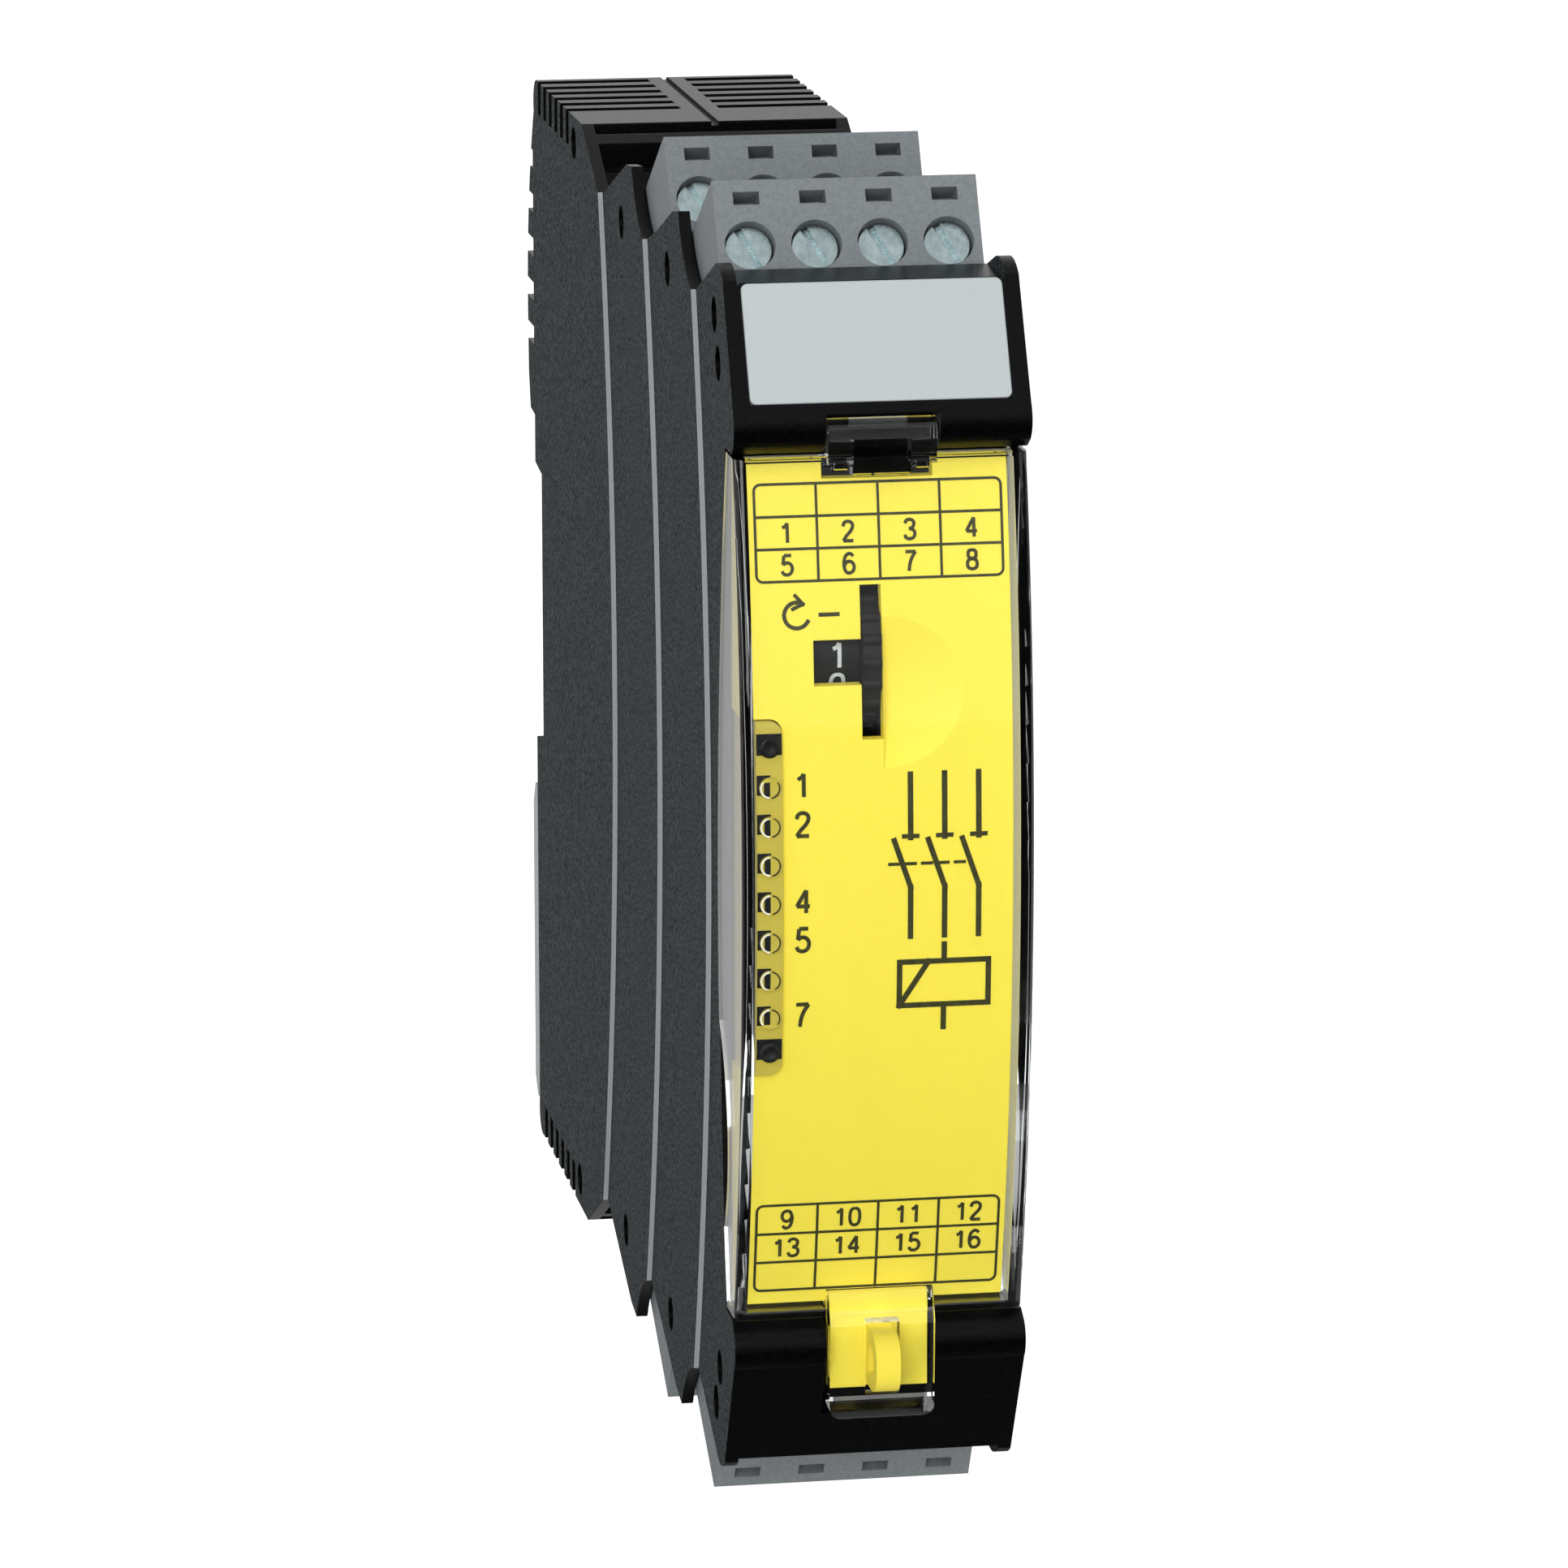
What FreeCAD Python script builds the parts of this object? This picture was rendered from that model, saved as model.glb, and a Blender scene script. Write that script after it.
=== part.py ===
import FreeCAD, Part
import math
import os
from FreeCAD import Vector

# A 22.5 mm safety relay for a 35 mm mounting rail, in millimetres.
# X runs across the width, -Y is the front, +Z is up. The origin is the middle of the width, on the plane
# where the housing sits on the rail (Y = 0), level with the middle of the rail (Z = 0).

# ---------------------------------------------------------------- driving dimensions
WIDTH = 22.5
HALF = WIDTH / 2
HEIGHT_HALF = 47.5          # vented top and bottom faces
WALL = 1.2                  # side walls of the shells
CAVITY_HALF = HALF - WALL
BOW_RADIUS = 138.0          # every bowed line and face of the front and sides

LEDGE_Y = (-46.3, -70.8, -95.4)   # middle of each bowed ledge on the sides
LEDGE_STEP = 0.4                  # how far the panel in front of a ledge is set in
PANEL_FRONT_Y = -108.0      # where the frontmost panel comes out flush

PLUG_TILT = 30.0            # plugs lean forward by this angle
PLUG_RIDGE_Y = {"spare": -44.3, "rear": -68.1, "front": -91.8}
PLUG_RIDGE_Z = HEIGHT_HALF + 4.2
PLUG_HALF = 10.16
PLUG_DEPTH = 12.0
PLUG_HEAD = 8.0             # height of the part of a plug that shows
PLUG_HEIGHT = 13.8
POLE_PITCH = 5.08
POLES = tuple(POLE_PITCH * (k - 1.5) for k in range(4))
PLUG_GAP = 0.25             # room around a plug in its bay
SIDE_GAP = 0.1              # room between a plug and the fins beside it
BAY_HALF = PLUG_HALF + SIDE_GAP
BAY_FLOOR = 15.2            # depth of a bay under the ridge, along the plug
SPARE_FLOOR = 12.0
DECK_Z = HEIGHT_HALF - 3.5  # surface between the bays
CAP_DECK_Z = HEIGHT_HALF - 1.9
CAP_REAR_Y = -96.2
CHEEK_HALF = 10.15          # inner faces of the cheeks beside the marker

SCREW_Z = -5.3              # screw axis below the ridge, in a plug's own frame
WELL_RADIUS = 1.93
HEAD_RADIUS = 1.75
HEAD_TOP = 0.9
HEAD_SEAT = 2.0
SHANK_RADIUS = 1.25
RUNNING = 0.03              # radial room of a turning fit
CHAMBER_FRONT = 2.6
CHAMBER_REAR = 10.6
CHAMBER_HALF = 2.1
CHAMBER_TOP = -3.2
CHAMBER_BOTTOM = -7.4
BAR_FRONT = 6.6
BAR_THICK = 0.6
CAGE_TRAVEL = 2.4
CAGE_FRONT = 5.05           # front of the cage when the terminal is open
CAGE_TOP_WALL = 1.2
CAGE_WINDOW = 3.5
CAGE_BOTTOM_WALL = 0.7
CAGE_HALF = 1.95
CAGE_WINDOW_HALF = 1.45
CAGE_HEIGHT = 3.8

MARKER_HALF = 9.9
MARKER_HEIGHT = 9.5
MARKER_THICK = 0.8

PANEL_EDGE = -99.95         # front edge of the side panels, at mid height
COVER_GAP = 0.15
COVER_EDGE = PANEL_EDGE - COVER_GAP   # rear edge of the cover's side walls, at mid height
COVER_DEPTH = 11.9
COVER_FRONT = COVER_EDGE - COVER_DEPTH
COVER_HALF = 11.1
COVER_TOP = HEIGHT_HALF - 14.3
COVER_WALL = 1.0
COVER_TOP_WALL = 0.5
COVER_ROOM = 1.6            # air between the cover and the front plate
PLATE_FRONT = COVER_FRONT + COVER_WALL + COVER_ROOM   # middle of the yellow plate's front face
PLATE_THICK = 1.2
PLATE_REAR = PLATE_FRONT + PLATE_THICK
NECK_HALF = COVER_HALF - COVER_WALL - 0.25            # black neck under the cover
NECK_WALL = 1.15
NECK_INNER = NECK_HALF - NECK_WALL
NECK_TOP = COVER_TOP - COVER_TOP_WALL - 0.2
PLATE_RIM = 1.3             # upper and lower rims of the yellow plate
CAVITY_TOP = COVER_TOP - 2.0          # ceiling of the room under the bays
AHEAD = COVER_FRONT - 8.0             # clear of everything in front
ABOVE = HEIGHT_HALF + 12.0            # clear of everything above

CAP_TOP = (COVER_FRONT + 8.5, HEIGHT_HALF - 1.6)      # upper edge of the sloping cap front
CAP_NOSE = (COVER_FRONT + 3.65, COVER_TOP + 3.8)      # its lower edge
CAP_BOTTOM_Z = COVER_TOP + 0.3
HINGE_Y = COVER_FRONT + 4.4
HINGE_Z = COVER_TOP + 1.8
KNUCKLE_RADIUS = 1.1
KNUCKLE_HALF = 4.1
PIN_RADIUS = 0.7
PIN_END = 5.1
NOTCH_HALF = 4.3
TONGUE_HALF = 3.8
TONGUE_Y = (HINGE_Y + 0.3, HINGE_Y + 1.4)
TAB_HALF = 4.05
TAB_END = -COVER_TOP - 8.0  # lower end of the cover's latch tab
EYE_HALF = 0.95             # half the thickness of the sealing eye

WHEEL_RADIUS = 5.85
WHEEL_Z = 17.65
WHEEL_STANDS = 0.6          # how far the wheel stands out of the front plate
WHEEL_X = (-1.5, -0.1)
DRUM_RADIUS = 3.8
DRUM_X = -5.5
AXLE_RADIUS = 0.75
AXLE_X = (DRUM_X - 0.9, WHEEL_X[1] + 0.95)
SWITCH_HALF = 6.75
KNURLS = 20
SLIT_X = (-1.6, 0.0)
SLIT_Z = (11.9, 23.4)
WINDOW_X = (-5.2, SLIT_X[0])           # the window opens into the slit
WINDOW_Z = (16.0, 19.4)

GUIDE_X = (-9.75, -7.75)
GUIDE_HALF = 13.6
GUIDE_ROUND = 1.0
LED_PITCH = 2.95
LED_Z = tuple(8.65 - LED_PITCH * k for k in range(7))
LED_X = -8.75
PIPE_RADIUS = 0.8
LED_FRONT = PLATE_FRONT + 4.4

BOARD_THICK = 1.0
FRONT_BOARD_Y = (PLATE_FRONT + 5.6, PLATE_FRONT + 5.6 + BOARD_THICK)
MAIN_BOARD_X = (-8.2, -6.6)
BOARD_HALF = CAVITY_TOP - 0.4

FOOT_HALF = 11.1
FOOT_Y = (0.3, 3.8)
FOOT_Z = (2.5 - HEIGHT_HALF, -17.8)
CLAW_Z = -16.2
RIB_DEEP = -3.9
RIB_NECK = -2.2
RIB_HALF = 8.1
RIB_NECK_HALF = 6.8
FOOT_GAP = 0.2

VENT_PITCH = 3.46
VENT_FIRST = -4.3
VENT_WIDTH = 1.7
VENT_COUNT = 6
REAR_VENT_COUNT = 5
REAR_VENT_PITCH = 3.9
REAR_VENT_Z = tuple(HEIGHT_HALF - 7.3 - REAR_VENT_PITCH * k for k in range(REAR_VENT_COUNT))


# ---------------------------------------------------------------- helpers
def bow(z):
    """How far a bowed line lies behind its middle at height z."""
    return BOW_RADIUS - math.sqrt(BOW_RADIUS ** 2 - z * z)


WHEEL_Y = PLATE_FRONT + bow(WHEEL_Z) - WHEEL_STANDS + WHEEL_RADIUS
NECK_FRONT = PLATE_REAR + bow(NECK_TOP)   # flat front of the black neck, behind the yellow plate's rims


def box(x, y, z):
    """A box between the two values of x, of y and of z."""
    return Part.makeBox(x[1] - x[0], y[1] - y[0], z[1] - z[0], Vector(x[0], y[0], z[0]))


def profile(steps, x):
    """A side profile drawn through (y, z) points, spread from x[0] to x[1].

    A step with four numbers is an arc: the point it passes, then the point it ends on.
    """
    edges = []
    at = Vector(x[0], steps[0][0], steps[0][1])
    first = at
    for step in steps[1:]:
        end = Vector(x[0], step[-2], step[-1])
        if len(step) == 4:
            edges.append(Part.Arc(at, Vector(x[0], step[0], step[1]), end).toShape())
        else:
            edges.append(Part.makeLine(at, end))
        at = end
    if at.distanceToPoint(first) > 1e-6:
        edges.append(Part.makeLine(at, first))
    face = Part.Face(Part.Wire(edges))
    return face.extrude(Vector(x[1] - x[0], 0, 0))


def turned_back(steps):
    """The same profile steps upside down and in the other order, so that they carry on a profile."""
    out = []
    arc = None
    for step in reversed(steps):
        point = (step[-2], -step[-1])
        out.append(point if arc is None else (arc[0], -arc[1]) + point)
        arc = step[:2] if len(step) == 4 else None
    return out


def bowed_slab(y_front, y_rear, z_half, x):
    """A slab between two bowed faces whose middles are at y_front and y_rear."""
    end = bow(z_half)
    return profile([
        (y_front + end, z_half), (y_front, 0, y_front + end, -z_half),
        (y_rear + end, -z_half), (y_rear, 0, y_rear + end, z_half)], x)


def rod_x(x, y, z, radius):
    return Part.makeCylinder(radius, x[1] - x[0], Vector(x[0], y, z), Vector(1, 0, 0))


def rod_y(x, y, z, radius):
    return Part.makeCylinder(radius, y[1] - y[0], Vector(x, y[0], z), Vector(0, 1, 0))


def fused(shapes):
    solid = shapes[0]
    if len(shapes) > 1:
        solid = solid.fuse(shapes[1:])
    return solid.removeSplitter()


def leaning(shape, y, z, tilt):
    """Leans a shape forward about X and puts its own origin at (y, z)."""
    out = shape.copy()
    out.rotate(Vector(0, 0, 0), Vector(1, 0, 0), -tilt)
    out.translate(Vector(0, y, z))
    return out


def upside_down(shape):
    """Turns a shape half a turn about Y, from the top of the relay to its bottom."""
    out = shape.copy()
    out.rotate(Vector(0, 0, 0), Vector(0, 1, 0), 180)
    return out


def round_ended(x, y, z, radius):
    """A box whose two long edges at its greater x are rounded, for the light guide and its seat."""
    shape = box(x, y, z)
    return shape.makeFillet(radius, [e for e in shape.Edges
                                     if abs(e.CenterOfMass.x - x[1]) < 0.01
                                     and abs(abs(e.CenterOfMass.z) - z[1]) < 0.01])


def mirrored_z(shape):
    return shape.mirror(Vector(0, 0, 0), Vector(0, 0, 1))


def at_bay(shape, level, side):
    """Puts a shape made in a plug's own frame into a bay of the top or the bottom."""
    out = leaning(shape, PLUG_RIDGE_Y[level], PLUG_RIDGE_Z, PLUG_TILT)
    return out if side == "top" else upside_down(out)


def ledge_wedge(y_rear, y_front, side):
    """The sliver cut off a side so that its panel starts LEDGE_STEP in and comes out flush in front."""
    reach = HEIGHT_HALF + 3.0
    outside = side * (HALF + 0.01)
    inside = side * (HALF - LEDGE_STEP)

    def arc(x, y):
        end = y + bow(reach)
        return Part.Arc(Vector(x, end, -reach), Vector(x, y, 0), Vector(x, end, reach)).toShape()

    corners = ((outside, y_rear), (inside, y_rear), (outside, y_front))
    arcs = [arc(*corner) for corner in corners]
    faces = [Part.makeRuledSurface(arcs[k], arcs[(k + 1) % 3]) for k in range(3)]
    for z in (-reach, reach):
        points = [Vector(x, y + bow(reach), z) for x, y in corners]
        faces.append(Part.Face(Part.makePolygon(points + points[:1])))
    shell = Part.makeShell(faces)
    shell.sewShape()
    solid = Part.makeSolid(shell)
    if solid.Volume < 0:
        solid.reverse()
    return solid


# ---------------------------------------------------------------- housing shells
FIN_PEAK = HEIGHT_HALF + 0.4
FIN_VALLEY = HEIGHT_HALF - 4.5
CORNER_Z = HEIGHT_HALF - 2.9
RECESS_DEPTH = 4.1          # relief behind the middle of the rail
RECESS_Z = (-10.5, 13.0)
RAIL_EDGE = 17.6            # just over half of the 35 mm rail
FIN_LINE = [
    (-0.6, CORNER_Z), (-0.85, HEIGHT_HALF - 0.8, -2.4, HEIGHT_HALF), (-30.2, HEIGHT_HALF),
    (-34.8, FIN_VALLEY + 2.35, -39.6, FIN_VALLEY), (-43.0, FIN_VALLEY + 1.1),
    (-54.6, FIN_PEAK - 0.3), (-57.8, FIN_PEAK),
    (-59.9, FIN_VALLEY + 2.3, -63.9, FIN_VALLEY), (-69.9, FIN_VALLEY + 1.6),
    (-78.6, FIN_PEAK - 0.5), (-81.9, FIN_PEAK),
    (-84.0, FIN_VALLEY + 2.3, -88.6, FIN_VALLEY - 0.1), (-99.6, HEIGHT_HALF - 0.9),
    (CAP_TOP[0] + 1.6, HEIGHT_HALF - 0.8) + CAP_TOP, CAP_NOSE,
    (CAP_NOSE[0] - 0.55, CAP_NOSE[1] - 1.4, CAP_NOSE[0] + 0.05, CAP_NOSE[1] - 2.8),
    (CAP_NOSE[0] + 1.15, CAP_BOTTOM_Z), (PANEL_EDGE - 4.15, CAP_BOTTOM_Z)]
REAR_LOWER = [(-0.3, -HEIGHT_HALF + 0.6, 0.0, -CORNER_Z), (0.0, RECESS_Z[0] - 0.9),
              (-RECESS_DEPTH, RECESS_Z[0]),
              (-RECESS_DEPTH, RECESS_Z[1]), (0.0, RECESS_Z[1] + 0.4), (0.0, RAIL_EDGE),
              (2.7, RAIL_EDGE + 0.2), (3.7, RAIL_EDGE + 3.3), (4.0, RAIL_EDGE + 8.9),
              (2.75, CORNER_Z - 7.8, -0.6, CORNER_Z)]


def outer_body():
    """The whole outside with its fins, as seen from the side."""
    bottom = turned_back(FIN_LINE[1:])
    corner = (-2.4, -HEIGHT_HALF)
    steps = FIN_LINE + [(PANEL_EDGE, 0) + bottom[0]] + bottom[1:-1] + [corner] + REAR_LOWER
    body = profile(steps, (-HALF, HALF))
    neck = box((-NECK_HALF, NECK_HALF), (NECK_FRONT, PANEL_EDGE + 10.0), (-NECK_TOP, NECK_TOP))
    return body.fuse(neck)


def cavity():
    """The room for the boards and relays, the neck and the hollow caps."""
    rear = -RECESS_DEPTH - 1.5
    front = PANEL_EDGE + 2.35
    roof = HEIGHT_HALF - 1.7
    slant = [(-30.5, roof), (-37.0, CAVITY_TOP + 3.3), (-64.0, CAVITY_TOP), (front, CAVITY_TOP)]
    upper = [(rear, RAIL_EDGE - 2.7), (1.5, RAIL_EDGE + 1.8), (1.7, CORNER_Z - 11.0),
             (-1.6, CORNER_Z - 3.0), (-2.6, roof)] + slant
    lower = turned_back(slant) + [(rear, -roof)]
    main = profile(upper + lower, (-CAVITY_HALF, CAVITY_HALF))
    neck = box((-NECK_INNER, NECK_INNER), (AHEAD, front + 0.6), (-BOARD_HALF, BOARD_HALF))
    hollow = profile([
        (CAP_TOP[0] + 2.2, HEIGHT_HALF - 3.5), (CAP_TOP[0] + 2.2, CAP_BOTTOM_Z + 1.7),
        (CAP_NOSE[0] + 2.35, CAP_BOTTOM_Z + 1.7), (CAP_NOSE[0] + 2.35, CAP_NOSE[1] + 0.4),
        (CAP_TOP[0] + 1.0, HEIGHT_HALF - 3.5)], (PIN_END + 0.7, CAVITY_HALF))
    hollows = [hollow, mirrored_z(hollow)]
    hollows += [h.mirror(Vector(0, 0, 0), Vector(1, 0, 0)) for h in hollows]
    return [main, neck] + hollows


def bay_cuts():
    """Bays for the plugs, the slots for their headers, and the open space between the fins."""
    wide = (-BAY_HALF, BAY_HALF)
    depth = (-PLUG_GAP, PLUG_DEPTH + PLUG_GAP)
    plug_bay = box(wide, depth, (-BAY_FLOOR, 12.0))
    root = box((-8.6, 8.6), (4.5, 7.5), (-24.0, -BAY_FLOOR + 0.1))
    spare = box(wide, depth, (-SPARE_FLOOR, 12.0))
    deck = box(wide, (CAP_REAR_Y, -33.0), (DECK_Z, ABOVE))
    cap_deck = box((-CHEEK_HALF, CHEEK_HALF), (AHEAD, CAP_REAR_Y), (CAP_DECK_Z, ABOVE))
    cuts = []
    for side in ("top", "bottom"):
        cuts += [at_bay(plug_bay, level, side) for level in ("rear", "front")]
        cuts += [at_bay(root, level, side) for level in ("rear", "front")]
        cuts.append(at_bay(spare, "spare", side))
        for part in (deck, cap_deck):
            cuts.append(part if side == "top" else mirrored_z(part))
    return cuts


def spare_bars():
    """Bars across each unused bay."""
    bar = box((-BAY_HALF - 0.2, BAY_HALF + 0.2), (3.0, 4.0), (-SPARE_FLOOR - 0.2, -8.2))
    shelf = box((-BAY_HALF - 0.2, BAY_HALF + 0.2), (-0.4, 12.6), (-8.6, -7.8))
    slots = [box((x - 1.5, x + 1.5), (4.6, 11.6), (-9.0, -7.0)) for x in POLES]
    grid = shelf.cut(slots)
    return [at_bay(part, "spare", side) for side in ("top", "bottom") for part in (bar, grid)]


def vent_cuts():
    """Slots along the top and bottom that wrap onto the sides, and slots down the upper back."""
    cuts = []
    for k in range(VENT_COUNT):
        y = VENT_FIRST - VENT_PITCH * k
        slot = box((1.6, HALF + 1.0), (y - VENT_WIDTH / 2, y + VENT_WIDTH / 2), (CORNER_Z, ABOVE))
        cuts += [slot, mirrored_z(slot)]
    for z in REAR_VENT_Z:
        cuts.append(box((1.6, HALF + 1.0), (0.2, 6.0), (z - 0.8, z + 0.8)))
    return cuts + [c.mirror(Vector(0, 0, 0), Vector(1, 0, 0)) for c in cuts]


PEG_PLACES = ((-25.4, HEIGHT_HALF - 2.3), (-51.1, HEIGHT_HALF - 5.1), (-75.4, HEIGHT_HALF - 5.1),
              (-98.6, HEIGHT_HALF - 4.9), (-100.5, HEIGHT_HALF - 8.3))
PEG_HOLE_RADIUS = 1.4
PEG_RADIUS = 0.9


def foot_channel():
    """The T-shaped way that guides the foot at the lower back."""
    top = FOOT_Z[1] + 0.6
    wide = box((-RIB_HALF - FOOT_GAP, RIB_HALF + FOOT_GAP),
               (RIB_DEEP - FOOT_GAP, RIB_NECK + FOOT_GAP), (-ABOVE, top))
    narrow = box((-RIB_NECK_HALF - FOOT_GAP, RIB_NECK_HALF + FOOT_GAP),
                 (RIB_NECK, 1.0), (-ABOVE, top))
    return [wide, narrow]


def marker_recess():
    slope = math.degrees(math.atan2(CAP_TOP[0] - CAP_NOSE[0], CAP_TOP[1] - CAP_NOSE[1]))
    room = 0.05
    pocket = box((-MARKER_HALF - room, MARKER_HALF + room), (-1.0, MARKER_THICK),
                 (-MARKER_HEIGHT - 0.2 - room, 3.0))
    plate = box((-MARKER_HALF, MARKER_HALF), (0.0, MARKER_THICK), (-MARKER_HEIGHT - 0.2, -0.2))
    return leaning(pocket, *CAP_TOP, slope), leaning(plate, *CAP_TOP, slope)


def housing_shells():
    body = outer_body()
    wedges = []
    fronts = LEDGE_Y[1:] + (PANEL_FRONT_Y - bow(40.0),)
    for rear, front in zip(LEDGE_Y, fronts):
        wedges += [ledge_wedge(rear, front, -1), ledge_wedge(rear, front, 1)]
    for wedge in wedges:
        body = body.cut(wedge)
    body = body.cut(cavity() + bay_cuts())
    body = body.fuse(spare_bars())
    hook = profile([(1.4, RAIL_EDGE + 2.4), (1.4, RAIL_EDGE - 1.0), (2.2, RAIL_EDGE - 1.4),
                    (3.2, RAIL_EDGE - 0.6), (3.3, RAIL_EDGE + 2.4)], (-9.0, 9.0))
    bosses = [rod_x((-CAVITY_HALF - 0.2, CAVITY_HALF + 0.2), PEG_PLACES[0][0], s * PEG_PLACES[0][1], 2.0)
              for s in (-1, 1)]
    body = body.fuse([hook] + bosses)
    pocket, _ = marker_recess()
    guide_room = box((-HALF - 1.0, GUIDE_X[1] + 0.1), (AHEAD, FRONT_BOARD_Y[0] - 0.1),
                     (-GUIDE_HALF - 0.15, GUIDE_HALF + 0.15))
    hinge_notch = box((-NOTCH_HALF, NOTCH_HALF), (AHEAD, HINGE_Y + 1.9),
                      (NECK_TOP - 2.2, HINGE_Z + KNUCKLE_RADIUS + 0.4))
    tongue_notch = box((-TAB_HALF - 0.15, TAB_HALF + 0.15), (AHEAD, NECK_FRONT + 0.1),
                       (TAB_END - 0.4, -BOARD_HALF))
    hinge_pin_room = rod_x((-PIN_END - 0.1, PIN_END + 0.1), HINGE_Y, HINGE_Z, PIN_RADIUS + RUNNING)
    holes = []
    for y, z in PEG_PLACES:
        for s in (-1, 1):
            hole = rod_x((HALF - 0.8, HALF + 1.0), y, s * z, PEG_HOLE_RADIUS)
            holes += [hole, hole.mirror(Vector(0, 0, 0), Vector(1, 0, 0))]
    groove = box((-0.3, 0.3), (-34.0, 5.0), (HEIGHT_HALF - 0.35, ABOVE))
    channel = box((-BAY_HALF, BAY_HALF), (-31.7, -30.3), (HEIGHT_HALF - 1.0, ABOVE))
    body = body.cut([pocket, guide_room, hinge_notch, tongue_notch, hinge_pin_room, groove,
                     channel, mirrored_z(channel)]
                    + vent_cuts() + foot_channel() + holes)
    behind = 10.0
    left = body.common(box((-WIDTH, 0.0), (AHEAD, behind), (-ABOVE, ABOVE)))
    right = body.common(box((0.0, WIDTH), (AHEAD, behind), (-ABOVE, ABOVE)))
    posts = []
    for y, z in ((-20.0, 27.0), (-20.0, -27.0), (-88.0, 27.0), (-88.0, -27.0)):
        posts.append(rod_x((-CAVITY_HALF - 0.3, MAIN_BOARD_X[0]), y, z, 2.0))
    pegs = []
    for y, z in PEG_PLACES:
        for s in (-1, 1):
            pegs.append(rod_x((-1.0, 1.6), y, s * z, PEG_RADIUS))
            right = right.cut(rod_x((-0.1, 1.8), y, s * z, PEG_RADIUS + RUNNING))
    left = fused([left] + posts + pegs)
    return left, right.removeSplitter()


# ---------------------------------------------------------------- front pieces
def front_plate():
    end = PLATE_FRONT + bow(NECK_TOP)
    plate = profile([(end, NECK_TOP), (PLATE_FRONT, 0, end, -NECK_TOP), (NECK_FRONT, -NECK_TOP),
                     (NECK_FRONT, NECK_TOP)], (-NECK_HALF, NECK_HALF))
    room = bowed_slab(PLATE_REAR, PLATE_REAR + 30.0, NECK_TOP - PLATE_RIM, (-NECK_INNER, NECK_INNER))
    dish_depth, dish_radius = 0.75, 5.6
    ball_radius = (dish_radius ** 2 + dish_depth ** 2) / (2 * dish_depth)
    surface = PLATE_FRONT + bow(WHEEL_Z)
    ball = Part.makeSphere(ball_radius, Vector(0.05, surface + dish_depth - ball_radius, WHEEL_Z))
    dish = ball.common(box((0.05, 8.0), (surface - 3.0, surface + 3.0), (WHEEL_Z - 8, WHEEL_Z + 8)))
    through = (AHEAD, PLATE_REAR + 10.0)
    cuts = [
        room,
        dish,
        box((-NOTCH_HALF + 0.1, NOTCH_HALF - 0.1), through, (NECK_TOP - PLATE_RIM, ABOVE)),
        round_ended((-HALF, GUIDE_X[1] + 0.05), through, (-GUIDE_HALF - 0.1, GUIDE_HALF + 0.1), GUIDE_ROUND),
        box(SLIT_X, through, SLIT_Z),
        box(WINDOW_X, through, WINDOW_Z)]
    plate = plate.cut(cuts)
    tongue = box((-TONGUE_HALF, TONGUE_HALF), TONGUE_Y, (TAB_END + 2.2, -NECK_TOP + 0.4))
    bridge = box((-TONGUE_HALF, TONGUE_HALF), (TONGUE_Y[0], NECK_FRONT),
                 (-NECK_TOP - 0.4, -NECK_TOP + 0.7))
    y, z = TONGUE_Y[0], TAB_END
    eye = profile([
        (y + 0.3, z + 2.6), (y - 2.7, z + 2.6), (y - 4.4, z + 3.3, y - 4.9, z + 4.9),
        (y - 4.4, z + 6.5, y - 2.7, z + 7.2), (y + 0.3, z + 7.2)], (-EYE_HALF, EYE_HALF))
    eye_hole = profile([
        (y - 1.3, z + 3.7), (y - 2.7, z + 3.7), (y - 3.8, z + 4.9, y - 2.7, z + 6.1), (y - 1.3, z + 6.1)],
        (-EYE_HALF - 1.0, EYE_HALF + 1.0))
    return fused([plate, tongue, bridge, eye]).cut(eye_hole)


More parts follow.
